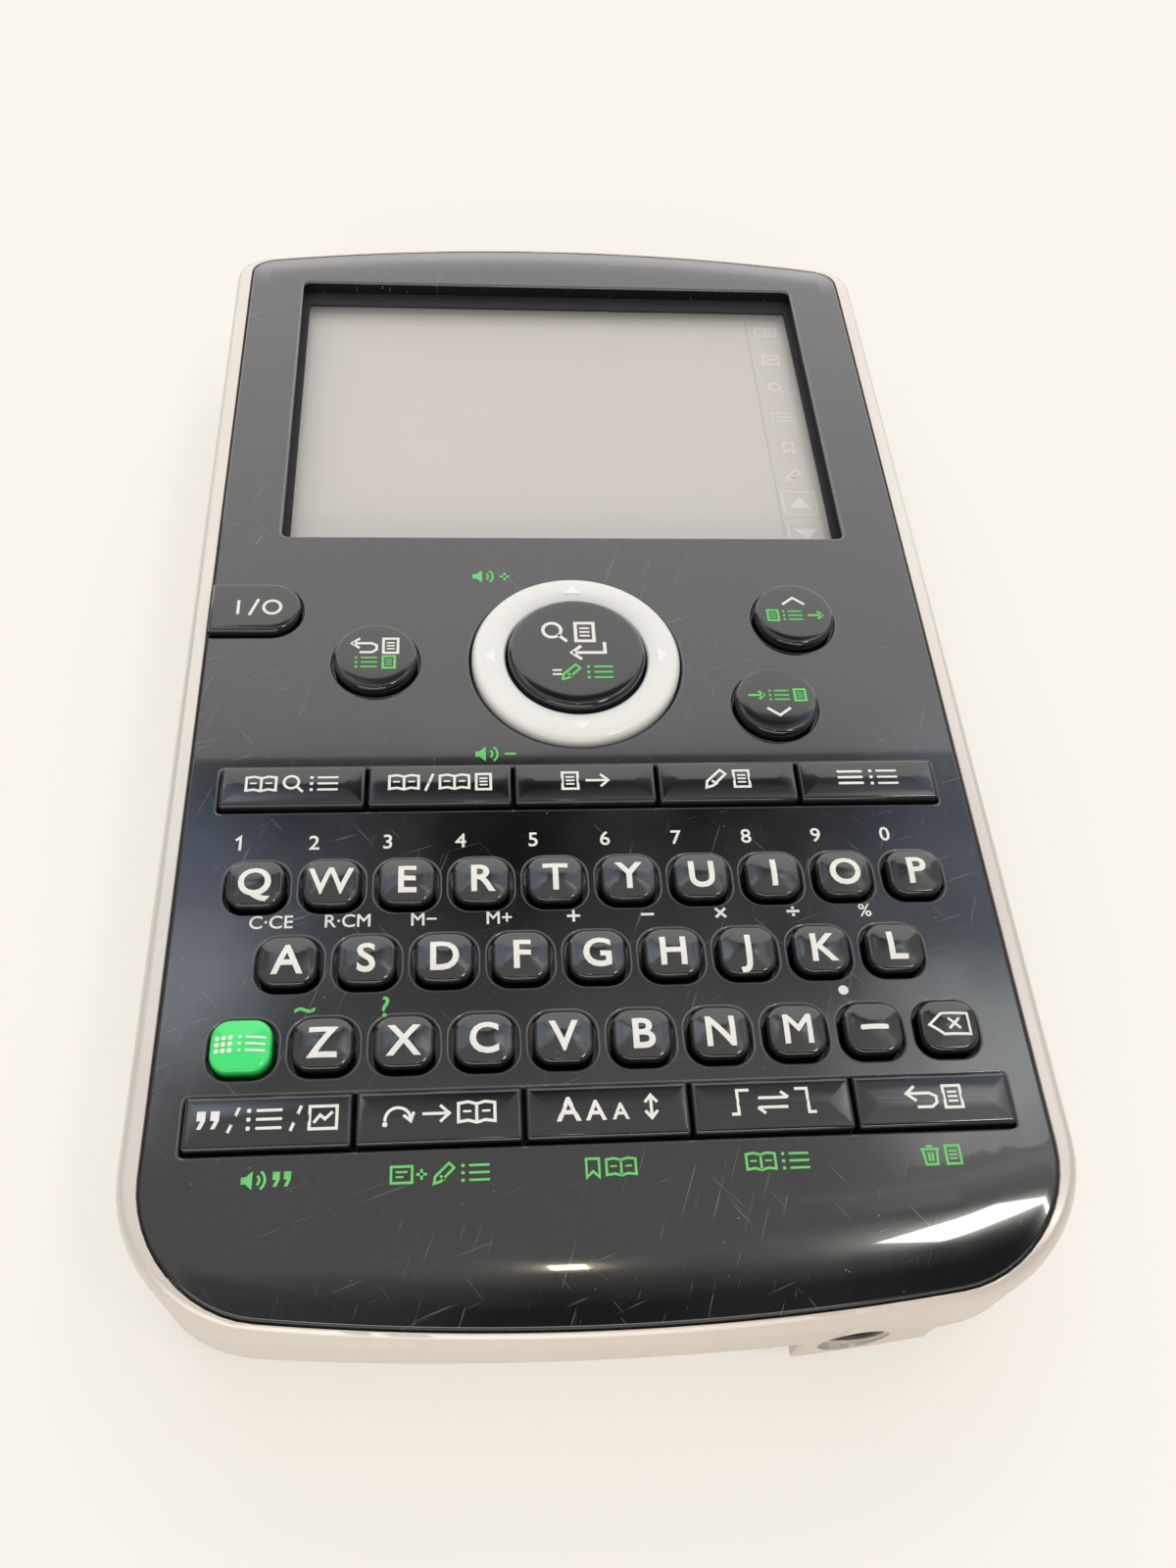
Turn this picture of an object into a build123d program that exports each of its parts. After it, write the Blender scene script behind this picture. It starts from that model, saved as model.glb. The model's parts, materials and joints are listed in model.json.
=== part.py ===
from build123d import *
from math import cos, radians, sin, sqrt
import os

# Pocket electronic dictionary, a one-piece slab: +Z is the front face, +Y the display end.
# The origin lies on the underside, below the middle of the body. Millimetres throughout.

# Body
body_width = 73.1
body_length = 126.5
top_arc_radius = 200.0  # shallow arc across the display end
bottom_arc_radius = 215.0  # shallow arc across the keyboard end
top_corner_radius = 4.2
bottom_corner_radius = 11.5
rim_top_bevel = 0.9
case_bottom_bevel = 1.5
roll_radius = 20.0  # the front face rolls down at the keyboard end
roll_length = 10.0
display_roll_radius = 20.0  # and over a shorter run at the display end
display_roll_length = 6.0
taper_length = 16.0  # the underside sweeps up at the keyboard end
taper_rise = 8.5
parting_height = 4.0  # rear shell below, rim frame above
case_wall = 1.4
skin_gap = 0.1  # between shells that lie inside each other

# Front panel
rim_side_width = 1.75
rim_end_width = 1.1
panel_thickness = 1.5
panel_gap = 0.1
panel_corner_radius = 2.8
panel_end_corner_radius = 10.0
ledge_width = 1.6  # rim ledge that the panel lies on
ledge_depth = 0.42  # thinnest stretch of the ledge, under the roll

# Layout of the front face, from the keyboard end up
keyboard_end_margin = 15.25  # panel end to the middle of the lower slot
slot_height = 4.5
slot_side_margin = 2.7  # panel edge to the end of a slot
lower_web = 1.575  # panel between the lower slot and the third row
row_web = 2.63  # panel between two rows of letter keys
upper_web = 5.225  # panel between the first row and the upper slot
ring_slot_gap = 2.05
ring_window_gap = 6.04
window_top_margin = 7.47
window_side_margin = 6.05
window_corner = 0.7

# Display stack
gasket_thickness = 0.3
gasket_side_border = 0.6
gasket_top_border = 2.15
gasket_bottom_border = 0.1
touch_thickness = 1.1
touch_margin = 1.3
lcd_thickness = 2.6
lcd_margin = 0.9
lcd_bevel = 0.5

# Keys
key_travel = 0.5
key_gap = 0.2  # cap to panel opening
key_seat_gap = 0.1  # flange to panel underside
flange_thickness = 0.6
flange_lip = 0.5
cap_spacing = 1.3  # between neighbouring letter caps
cap_height = 4.55
cap_corner = 1.6
cap_rise = 1.0
cap_shoulder = 0.5
cap_shoulder_depth = 0.35
key_field_inset = 0.85  # end of a slot to the outer edge of the letter key field
bar_gap = 0.22
bar_rise = 0.75
bar_bevel = 0.35

# Round keys, the ring and the power key
round_opening = 4.1
round_rise = 1.05
round_bevel = 0.5
back_offset = (15.9, -0.05)  # in from the panel's left edge, up from the ring's middle
up_offset = (13.05, 5.06)  # in from the panel's right edge
down_offset = (16.24, -5.5)
enter_radius = 6.5
enter_rise = 1.5
enter_gap = 0.27
ring_width = 3.17
ring_rise = 0.85
ring_bevel = 0.3
ring_lug_width = 4.0
ring_tilt = 2.0  # degrees that the ring rocks each way
power_offset = 6.19  # up from the ring's middle
power_opening = 6.3
power_reach = 8.8  # from the panel edge to the round end
power_flat = 0.15  # half the flat that is left on the round end
power_rise = 0.75
power_edge_gap = 0.15

# Board and silicone mat
board_thickness = 0.8
board_silo_gap = 0.35
board_slot_gap = 0.85  # board's edge beyond the lower slot
mat_base = 0.5
mat_side_gap = 1.3
mat_border = 0.11
pad_height = 0.7
pad_gap = 0.1  # key at full travel to its pad
pad_size = 2.4
board_boss_radius = 1.4
board_boss_gap = 0.4
inner_boss_place = 14.0
chip_thickness = 1.0
chip_places = {(-14.0, 6.25): (10.0, 10.0), (2.0, 5.25): (8.0, 12.0), (18.0, 6.75): (7.0, 7.0)}

# Batteries (two AAA cells) and their door
cell_diameter = 10.5
cell_length = 44.5
cell_nub_length = 0.8
cell_nub_radius = 1.9
cell_gap = 0.3
cell_board_gap = 0.2
bay_wall = 1.2
bay_gap = 0.3
bay_end_gap = 27.1  # keyboard end to the bay
contact_thickness = 0.4
contact_inset = 0.5
spring_length = 3.6
leaf_width = 4.0
leaf_rise = 3.4
leaf_thickness = 0.5
leaf_gap = 0.1
door_wall = 1.2
door_margin = 5.6  # door's edge beyond the bay
door_gap = 0.15
deck_lap = 0.2
grip_margin = 9.0
grip_count = 5
grip_pitch = 1.8
grip_size = (16.0, 0.9)
grip_depth = 0.35

# Earphone jack
jack_side_margin = 17.65
jack_hole_radius = 1.75
jack_nose_wall = 0.65
jack_nose_lip = 0.45
jack_gap = 0.1
jack_recess_depth = 0.5
jack_body_width = 6.4
jack_body_length = 11.0
jack_body_setback = 0.1
jack_floor_wall = 0.45
jack_bore_length = 13.0
boss_floor = 0.75
boss_left_margin = 4.4
boss_right_margin = 6.9
boss_depth = 5.2

# Stylus and its silo
stylus_side_margin = 4.25
stylus_radius = 1.85
stylus_length = 70.0
stylus_head_radius = 2.2
stylus_head_length = 5.0
stylus_tip_length = 3.0
stylus_point = 0.5
stylus_gap = 0.25
silo_wall = 0.6
silo_skin = 0.5
silo_end_gap = 0.3
silo_top_gap = 0.5

# Speaker
speaker_offset = (-18.0, 25.25)  # from the middle line, down from the display end
speaker_radius = 9.0
speaker_thickness = 3.4
speaker_slot = (12.0, 1.1)
speaker_slot_pitch = 2.4
speaker_slot_count = 5

# Case screws
upper_screw_margin = (11.05, 3.2)  # in from the side and from the end face
lower_screw_margin = (3.95, 19.25)
screw_head_radius = 1.45
screw_head_height = 0.9
screw_head_gap = 0.25
screw_shank_radius = 0.8
screw_shank_gap = 0.2
screw_length = 7.0
screw_post_radius = 2.3
screw_column_radius = 2.8
screw_end_gap = 0.5
column_top_gap = 0.2
boss_sides = 8  # hidden bosses and posts are plain prisms
overrun = 0.3  # how far a cutter runs past the body


def arc_drop(radius, half_width):
    """How far a shallow arc falls from its crown to half_width beside it."""
    return radius - sqrt(radius**2 - half_width**2)


# Heights, stacked up from the underside
cell_radius = cell_diameter / 2
cell_axis = door_wall + cell_gap + cell_radius
board_underside = cell_axis + cell_radius + cell_board_gap
board_top = board_underside + board_thickness
mat_top = board_top + mat_base
pad_top = mat_top + pad_height
flange_underside = pad_top + pad_gap + key_travel
flange_top = flange_underside + flange_thickness
panel_underside = flange_top + key_seat_gap
front_face = panel_underside + panel_thickness
touch_top = panel_underside - gasket_thickness
touch_underside = touch_top - touch_thickness
lcd_underside = touch_underside - lcd_thickness
roll_drop = max(arc_drop(roll_radius, roll_length), arc_drop(display_roll_radius, display_roll_length))
ledge_underside = front_face - roll_drop - panel_thickness - ledge_depth
column_top = lcd_underside - column_top_gap
deck_underside = door_wall + skin_gap
deck_top = deck_underside + door_wall
bay_top = board_underside - bay_gap
jack_nose_radius = jack_hole_radius + jack_nose_wall
jack_recess_radius = jack_nose_radius + jack_nose_lip
jack_height = parting_height + boss_floor + jack_recess_radius
silo_bore = stylus_radius + stylus_gap
silo_radius = stylus_head_radius + stylus_gap + silo_wall
stylus_height = lcd_underside - silo_top_gap - silo_radius

# Lines across and along the body
body_end = body_length / 2
body_side = body_width / 2
panel_side = body_side - rim_side_width
panel_end = body_end - rim_end_width
slot_width = 2 * (panel_side - slot_side_margin)
key_pitch = (slot_width - 2 * key_field_inset) / 10
cap_width = key_pitch - cap_spacing
row_pitch = cap_height + row_web
ring_inner = enter_radius + enter_gap
ring_outer = ring_inner + ring_width
ring_hole = ring_outer + key_gap
lower_slot_line = keyboard_end_margin - panel_end
third_row = lower_slot_line + slot_height / 2 + lower_web + cap_height / 2
first_row = third_row + 2 * row_pitch
upper_slot_line = first_row + cap_height / 2 + upper_web + slot_height / 2
ring_line = upper_slot_line + slot_height / 2 + ring_slot_gap + ring_hole
window_bottom = ring_line + ring_hole + ring_window_gap
window_width = 2 * (panel_side - window_side_margin)
window_height = panel_end - window_top_margin - window_bottom
window_middle = window_bottom + window_height / 2
stylus_place = body_side - stylus_side_margin
board_side = stylus_place - silo_radius - board_silo_gap
board_bottom_edge = lower_slot_line - slot_height / 2 - board_slot_gap
mat_side = panel_side - ledge_width - mat_side_gap
mat_top_edge = ring_line + ring_hole + mat_border
outer_boss_line = mat_top_edge + board_boss_gap + board_boss_radius
board_top_edge = outer_boss_line + board_boss_radius + board_boss_gap
bay_length = cell_length + spring_length + 2 * contact_thickness + 2 * bay_gap
bay_width = 2 * cell_diameter + cell_gap + 2 * bay_gap
bay_line = bay_end_gap - body_end + bay_wall + bay_width / 2
door_line = bay_line + bay_width / 2 + bay_wall + door_margin

# Places of single things
jack_place = body_side - jack_side_margin
dpad_place = (0.0, ring_line)
back_place = (back_offset[0] - panel_side, ring_line + back_offset[1])
up_place = (panel_side - up_offset[0], ring_line + up_offset[1])
down_place = (panel_side - down_offset[0], ring_line + down_offset[1])
power_line = ring_line + power_offset
power_left = -panel_side
power_right = power_left + power_reach
power_centre = ((power_left + ledge_width + power_right) / 2, power_line)
inner_boss_line = upper_slot_line - slot_height / 2 - upper_web / 2
inner_boss_places = [(-inner_boss_place, inner_boss_line), (inner_boss_place, inner_boss_line)]
outer_boss_place = board_side - board_boss_radius - 2 * board_boss_gap
outer_boss_places = [(-outer_boss_place, outer_boss_line), (outer_boss_place, outer_boss_line)]
speaker_place = (speaker_offset[0], body_end - speaker_offset[1])
upper_screw_x = body_side - upper_screw_margin[0]
upper_screw_y = body_end - arc_drop(top_arc_radius, upper_screw_x) - upper_screw_margin[1]
lower_screw_x = body_side - lower_screw_margin[0]
lower_screw_y = lower_screw_margin[1] - body_end
screw_places = [
    (-upper_screw_x, upper_screw_y),
    (upper_screw_x, upper_screw_y),
    (-lower_screw_x, lower_screw_y),
    (lower_screw_x, lower_screw_y),
]

os.makedirs("parts", exist_ok=True)


def write(part, name):
    part.label = name
    export_step(part, f"parts/{name}.step")


def end_outline(half_width, end, inset, corner_top, corner_bottom):
    """Closed outline with straight sides and a shallow arc across each end."""
    half = half_width - inset
    tip = end - inset
    top_side = tip - arc_drop(top_arc_radius - inset, half)
    bottom_side = arc_drop(bottom_arc_radius - inset, half) - tip
    with BuildSketch(mode=Mode.PRIVATE) as outline:
        with BuildLine():
            ThreePointArc((-half, top_side), (0, tip), (half, top_side))
            Line((half, top_side), (half, bottom_side))
            ThreePointArc((half, bottom_side), (0, -tip), (-half, bottom_side))
            Line((-half, bottom_side), (-half, top_side))
        make_face()
        fillet(outline.vertices().group_by(Axis.Y)[-1], corner_top)
        fillet(outline.vertices().group_by(Axis.Y)[0], corner_bottom)
    return outline.sketch


def body_outline(inset):
    return end_outline(
        body_side,
        body_end,
        inset,
        max(top_corner_radius - inset, 0.5),
        bottom_corner_radius - inset,
    )


def panel_outline(inset):
    return end_outline(
        panel_side,
        panel_end,
        inset,
        max(panel_corner_radius - inset, 0.5),
        panel_end_corner_radius - inset,
    )


def roll_cutter(radius, length, inset):
    """What is cut from above, so that the front face rolls down towards the keyboard end."""
    start = length - body_end
    tip = -body_end - overrun

    def height(y):
        return front_face - radius + sqrt((radius - inset) ** 2 - (y - start) ** 2)

    with BuildPart(mode=Mode.PRIVATE) as cutter:
        with BuildSketch(Plane.YZ):
            with BuildLine():
                middle = (start + tip) / 2
                ThreePointArc((start, height(start)), (middle, height(middle)), (tip, height(tip)))
                Polyline(
                    (tip, height(tip)),
                    (tip, front_face + overrun),
                    (start, front_face + overrun),
                    (start, height(start)),
                )
            make_face()
        extrude(amount=body_width, both=True)
    return cutter.part


def body_block(inset, outline_inset=None, top=None):
    """The slab's solid form, drawn in by inset all over: outline, front rolls and underside sweep.

    Where top is given, only the part below that height is made, which has no rolls.
    """
    if outline_inset is None:
        outline_inset = inset
    sweep_radius = (taper_length**2 + taper_rise**2) / (2 * taper_rise)
    sweep_reach = sweep_radius - inset
    sweep_start = taper_length - body_end
    sweep_tip = inset - body_end - overrun

    def sweep_height(y):
        return sweep_radius - sqrt(max(sweep_reach**2 - (y - sweep_start) ** 2, 0.01))

    with BuildPart() as block:
        with BuildSketch(Plane.XY.offset(inset)):
            add(body_outline(outline_inset))
        extrude(amount=(front_face - 2 * inset) if top is None else top - inset)
        # The underside leaves the flat tangentially and sweeps up to the end.
        with BuildSketch(Plane.YZ):
            with BuildLine():
                middle = (sweep_start + sweep_tip) / 2
                ThreePointArc(
                    (sweep_start, inset),
                    (middle, sweep_height(middle)),
                    (sweep_tip, sweep_height(sweep_tip)),
                )
                Polyline(
                    (sweep_tip, sweep_height(sweep_tip)),
                    (sweep_tip - body_end, sweep_height(sweep_tip)),
                    (sweep_tip - body_end, -overrun),
                    (sweep_start, -overrun),
                    (sweep_start, inset),
                )
            make_face()
        extrude(amount=body_width, both=True, mode=Mode.SUBTRACT)
        if top is None:
            add(roll_cutter(roll_radius, roll_length, inset), mode=Mode.SUBTRACT)
            display_cutter = roll_cutter(display_roll_radius, display_roll_length, inset)
            add(mirror(display_cutter, about=Plane.XZ), mode=Mode.SUBTRACT)
    return block.part


def is_side_face(face):
    return abs(face.normal_at().Z) < 0.01


def rim_edges(shape, upper):
    """The closed run of edges where the side walls meet the front, or the underside."""
    edges = ShapeList(shape.faces().filter_by(is_side_face)).edges()
    flat = edges.filter_by(lambda edge: abs(edge.tangent_at(0.5).Z) < 0.99)
    return flat.filter_by(lambda edge: (edge.center().Z > 0.6 * front_face) == upper)


def soft_rectangle(width, height, corner):
    """A rectangle whose corners are eased in two steps."""
    points = []
    for quarter in range(4):
        across = 1 if quarter in (0, 3) else -1
        up = 1 if quarter < 2 else -1
        for step in range(3):
            angle = radians(90 * quarter + 45 * step)
            corner_x = across * (width / 2 - corner)
            corner_y = up * (height / 2 - corner)
            points.append((corner_x + corner * cos(angle), corner_y + corner * sin(angle)))
    with BuildSketch(mode=Mode.PRIVATE) as outline:
        with BuildLine():
            Polyline(*points, close=True)
        make_face()
    return outline.sketch


def slab(outline, low, high):
    """An outline raised into a solid between two heights."""
    with BuildPart() as raised:
        with BuildSketch(Plane.XY.offset(low)):
            add(outline)
        extrude(amount=high - low)
    return raised.part


def bar(low, high):
    """A plain block between two corners."""
    with BuildPart() as block:
        with BuildSketch(Plane.XY.offset(low[2])):
            with Locations(((low[0] + high[0]) / 2, (low[1] + high[1]) / 2)):
                Rectangle(high[0] - low[0], high[1] - low[1])
        extrude(amount=high[2] - low[2])
    return block.part


outer_form = body_block(0)
panel_backing = body_block(panel_thickness, outline_inset=0)
case_cavity = body_block(case_wall)
cover_cavity = body_block(case_wall, top=parting_height + 1)
door_cavity = body_block(door_wall, top=parting_height + 1)
deck_form = body_block(door_wall + skin_gap, top=parting_height)
deck_cavity = body_block(door_wall + skin_gap + door_wall, top=parting_height + 1)

with BuildPart() as rounded:
    add(outer_form)
    chamfer(rim_edges(rounded, True), rim_top_bevel)
    chamfer(rim_edges(rounded, False), case_bottom_bevel)
case_form = rounded.part


# Where the keys lie -------------------------------------------------------------------------

key_rows = [
    [f"key_{letter}" for letter in "qwertyuiop"],
    [f"key_{letter}" for letter in "asdfghjkl"],
    ["function_key", *[f"key_{letter}" for letter in "zxcvbnm"], "dash_key", "clear_key"],
]
letter_places = {}
for row, names in enumerate(key_rows):
    for column, name in enumerate(names):
        x = (column - (len(names) - 1) / 2) * key_pitch
        letter_places[name] = (x, first_row - row * row_pitch)

bar_count = 5
bar_pitch = slot_width / bar_count
bar_places = {}
for row_name, line in {"upper": upper_slot_line, "lower": lower_slot_line}.items():
    for column in range(bar_count):
        bar_places[f"{row_name}_bar_key_{column + 1}"] = ((column - 2) * bar_pitch, line)

round_places = {"back_key": back_place, "up_key": up_place, "down_key": down_place}


# Keys ---------------------------------------------------------------------------------------


cap_outline = soft_rectangle(cap_width, cap_height, cap_corner)
cap_opening = soft_rectangle(cap_width + 2 * key_gap, cap_height + 2 * key_gap, cap_corner + key_gap)


def letter_key(name, place):
    """A small rounded keycap with a sloped shoulder, on a flange that stops it under the panel."""
    x, y = place
    with BuildPart() as key:
        with BuildSketch(Plane((x, y, flange_underside))):
            Rectangle(cap_width + 2 * flange_lip, cap_height + 2 * flange_lip)
        extrude(amount=flange_thickness)
        with BuildSketch(Plane((x, y, flange_top))):
            add(cap_outline)
        extrude(amount=front_face + cap_rise - flange_top)
        crown = key.faces().sort_by(Axis.Z)[-1]
        chamfer(crown.edges(), cap_shoulder, cap_shoulder_depth, reference=crown)
    write(key.part, name)


def bar_key(name, place):
    """A long flat key; only its front and back have a flange, so that its neighbours fit close."""
    x, y = place
    column = round(x / bar_pitch)
    at_end = abs(column) == 2
    width = bar_pitch - bar_gap - (key_gap - bar_gap / 2 if at_end else 0)
    shift = -(key_gap - bar_gap / 2) / 2 * (1 if column > 0 else -1) if at_end else 0
    depth = slot_height - 2 * key_gap
    with BuildPart() as key:
        with BuildSketch(Plane((x + shift, y, flange_underside))):
            Rectangle(width, depth + 2 * (flange_lip + key_gap))
        extrude(amount=flange_thickness)
        with BuildSketch(Plane((x + shift, y, flange_top))):
            Rectangle(width, depth)
        extrude(amount=front_face + bar_rise - flange_top)
        chamfer(key.faces().sort_by(Axis.Z)[-1].edges(), bar_bevel)
    write(key.part, name)


def round_key(name, place):
    x, y = place
    cap_radius = round_opening - key_gap
    with BuildPart() as key:
        with BuildSketch(Plane((x, y, flange_underside))):
            Rectangle(*[2 * (round_opening + flange_lip / 2)] * 2)
        extrude(amount=flange_thickness)
        with BuildSketch(Plane((x, y, flange_top))):
            Circle(cap_radius)
        extrude(amount=front_face + round_rise - flange_top)
        chamfer(key.faces().sort_by(Axis.Z)[-1].edges(), round_bevel)
    write(key.part, name)


def power_outline(grow, left):
    """The power key's shape: square at the panel's edge, round at its inner end."""
    height = power_opening + 2 * grow
    with BuildSketch(mode=Mode.PRIVATE) as outline:
        with Locations(((left + power_right + grow) / 2, power_line)):
            Rectangle(power_right + grow - left, height)
        fillet(outline.vertices().group_by(Axis.X)[-1], height / 2 - power_flat)
    return outline.sketch


for name, place in letter_places.items():
    letter_key(name, place)
for name, place in bar_places.items():
    bar_key(name, place)
for name, place in round_places.items():
    round_key(name, place)

ledge_clearance = panel_underside + key_travel + pad_gap  # the key passes over the rim's ledge
with BuildPart() as power_key:
    with BuildSketch(Plane.XY.offset(flange_underside)):
        add(power_outline(flange_lip, power_left + ledge_width + power_edge_gap))
    extrude(amount=flange_thickness)
    with BuildSketch(Plane.XY.offset(flange_top)):
        add(power_outline(-key_gap, power_left + ledge_width + power_edge_gap))
    extrude(amount=ledge_clearance - flange_top)
    with BuildSketch(Plane.XY.offset(ledge_clearance)):
        add(power_outline(-key_gap, power_left + power_edge_gap))
    extrude(amount=front_face + power_rise - ledge_clearance)
    chamfer(power_key.faces().sort_by(Axis.Z)[-1].edges(), bar_bevel)
write(power_key.part, "power_key")

with BuildPart() as enter_key:
    with BuildSketch(Plane((*dpad_place, flange_underside))):
        Circle(enter_radius)
    extrude(amount=front_face + enter_rise - flange_underside)
    chamfer(enter_key.faces().sort_by(Axis.Z)[-1].edges(), round_bevel)
write(enter_key.part, "enter_key")

ring_flange = ring_hole + flange_lip
ring_swing = ring_flange * sin(radians(ring_tilt))
ring_flange_top = panel_underside - ring_swing - key_seat_gap
ring_underside = ring_flange_top - flange_thickness
with BuildPart() as dpad_ring:
    with BuildSketch(Plane((*dpad_place, ring_underside))):
        Circle(ring_outer)
        with PolarLocations(ring_outer - flange_lip, 4, start_angle=45):
            Rectangle(2 * (ring_flange - ring_outer + flange_lip), ring_lug_width)
        Circle(ring_inner, mode=Mode.SUBTRACT)
    extrude(amount=flange_thickness)
    with BuildSketch(Plane((*dpad_place, ring_flange_top))):
        Circle(ring_outer)
        Circle(ring_inner, mode=Mode.SUBTRACT)
    extrude(amount=front_face + ring_rise - ring_flange_top)
    chamfer(dpad_ring.edges().group_by(Axis.Z)[-1].sort_by(SortBy.LENGTH)[-1], ring_bevel)
write(dpad_ring.part, "dpad_ring")


# Front panel --------------------------------------------------------------------------------

with BuildPart() as front_panel:
    add(outer_form)
    with BuildSketch(Plane.XY.offset(ledge_underside)):
        add(panel_outline(0))
    extrude(amount=front_face, mode=Mode.INTERSECT)
    add(panel_backing, mode=Mode.SUBTRACT)
    with BuildSketch(Plane.XY.offset(panel_underside - 1)):
        with Locations((0, window_middle)):
            RectangleRounded(window_width, window_height, window_corner)
        with Locations(*letter_places.values()):
            add(cap_opening)
        with Locations((0, upper_slot_line), (0, lower_slot_line)):
            Rectangle(slot_width, slot_height)
        with Locations(*round_places.values()):
            Circle(round_opening)
        with Locations(dpad_place):
            Circle(ring_hole)
        add(power_outline(0, power_left - 1))
    extrude(amount=panel_thickness + 2, mode=Mode.SUBTRACT)
    with BuildSketch(Plane.XY.offset(board_top)):
        with Locations(*inner_boss_places, *outer_boss_places):
            RegularPolygon(board_boss_radius, boss_sides)
    extrude(amount=panel_underside - board_top)
write(front_panel.part, "front_panel")


# Rim frame ----------------------------------------------------------------------------------

panel_pocket_form = slab(panel_outline(-panel_gap), ledge_underside, front_face + 1)
with BuildPart() as panel_pocket:
    add(panel_pocket_form)
    add(panel_backing, mode=Mode.SUBTRACT)
with BuildPart() as frame_cavity:
    add(case_cavity)
    split(bisect_by=Plane.XY.offset(ledge_underside), keep=Keep.BOTTOM)
ledge_opening = slab(panel_outline(ledge_width), ledge_underside - 1, front_face + 1)

jack_face = body_end - arc_drop(bottom_arc_radius, jack_place)
boss_back = boss_depth - body_end
boss_left = jack_place - boss_left_margin
boss_right = jack_place + boss_right_margin
with BuildPart() as jack_boss:
    with BuildSketch(Plane.XY.offset(parting_height)):
        add(body_outline(0))
        with Locations(((boss_left + boss_right) / 2, boss_back - body_end / 2)):
            Rectangle(boss_right - boss_left, body_end, mode=Mode.INTERSECT)
    extrude(amount=jack_height + jack_recess_radius - parting_height)

stylus_end = body_end - arc_drop(top_arc_radius, stylus_place + stylus_head_radius) - rim_top_bevel
stylus_tip = stylus_end - stylus_length
silo_end = stylus_tip - silo_wall - silo_end_gap

with BuildPart() as silo_tube:
    with BuildSketch(Plane.XZ.offset(-silo_end)):
        with Locations((stylus_place, stylus_height)):
            RegularPolygon(silo_radius, 2 * boss_sides)
    extrude(amount=silo_end - body_end)
    with BuildSketch(Plane.XY.offset(parting_height)):
        add(body_outline(silo_skin))
    extrude(amount=front_face, mode=Mode.INTERSECT)

with BuildPart() as rim_frame:
    add(case_form)
    split(bisect_by=Plane.XY.offset(parting_height), keep=Keep.TOP)
    add(frame_cavity.part, mode=Mode.SUBTRACT)
    add(ledge_opening, mode=Mode.SUBTRACT)
    add(panel_pocket.part, mode=Mode.SUBTRACT)
    add(jack_boss.part)
    add(silo_tube.part)
    with BuildSketch(Plane.XY.offset(parting_height)):
        with Locations(*screw_places):
            RegularPolygon(screw_column_radius, boss_sides)
    extrude(amount=column_top - parting_height)
    with BuildSketch(Plane.XY.offset(parting_height)):
        with Locations(*screw_places):
            RegularPolygon(screw_shank_radius, boss_sides)
    extrude(amount=deck_top + screw_length + screw_end_gap - parting_height, mode=Mode.SUBTRACT)
    # Stylus bore, with a wider mouth for its head.
    with BuildSketch(Plane.XZ.offset(silo_end_gap - stylus_tip)):
        with Locations((stylus_place, stylus_height)):
            Circle(silo_bore)
    extrude(amount=-2 * stylus_length, mode=Mode.SUBTRACT)
    with BuildSketch(Plane.XZ.offset(stylus_head_length - stylus_end + silo_end_gap)):
        with Locations((stylus_place, stylus_height)):
            Circle(stylus_head_radius + stylus_gap)
    extrude(amount=-2 * stylus_head_length, mode=Mode.SUBTRACT)
    # Earphone opening: a shallow round recess and the hole for the jack's nose.
    with BuildSketch(Plane.XZ.offset(jack_face - jack_recess_depth)):
        with Locations((jack_place, jack_height)):
            Circle(jack_recess_radius)
    extrude(amount=boss_depth, mode=Mode.SUBTRACT)
    with BuildSketch(Plane.XZ.offset(-boss_back - skin_gap)):
        with Locations((jack_place, jack_height)):
            Circle(jack_nose_radius + jack_gap)
    extrude(amount=2 * boss_depth, mode=Mode.SUBTRACT)
write(rim_frame.part, "rim_frame")


# Rear cover and battery door ----------------------------------------------------------------

beyond = 2 * body_length
bay_inner = (bay_length, bay_width)
bay_outer = (bay_length + 2 * bay_wall, bay_width + 2 * bay_wall)

display_side = bar((-body_width, door_line, -1), (body_width, beyond, parting_height))
bulkhead_zone = bar((-body_width, door_line, -1), (body_width, door_line + case_wall, parting_height))
key_side = bar((-body_width, -beyond, -1), (body_width, door_line + deck_lap, parting_height))
door_zone = bar((-body_width, -beyond, -1), (body_width, door_line - door_gap, parting_height))

with BuildPart() as rear_shell:
    add(case_form)
    add(display_side, mode=Mode.INTERSECT)
    add(cover_cavity, mode=Mode.SUBTRACT)
with BuildPart() as bulkhead:
    add(case_form)
    add(bulkhead_zone, mode=Mode.INTERSECT)
with BuildPart() as deck:
    add(deck_form)
    add(key_side, mode=Mode.INTERSECT)
    add(deck_cavity, mode=Mode.SUBTRACT)

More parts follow.
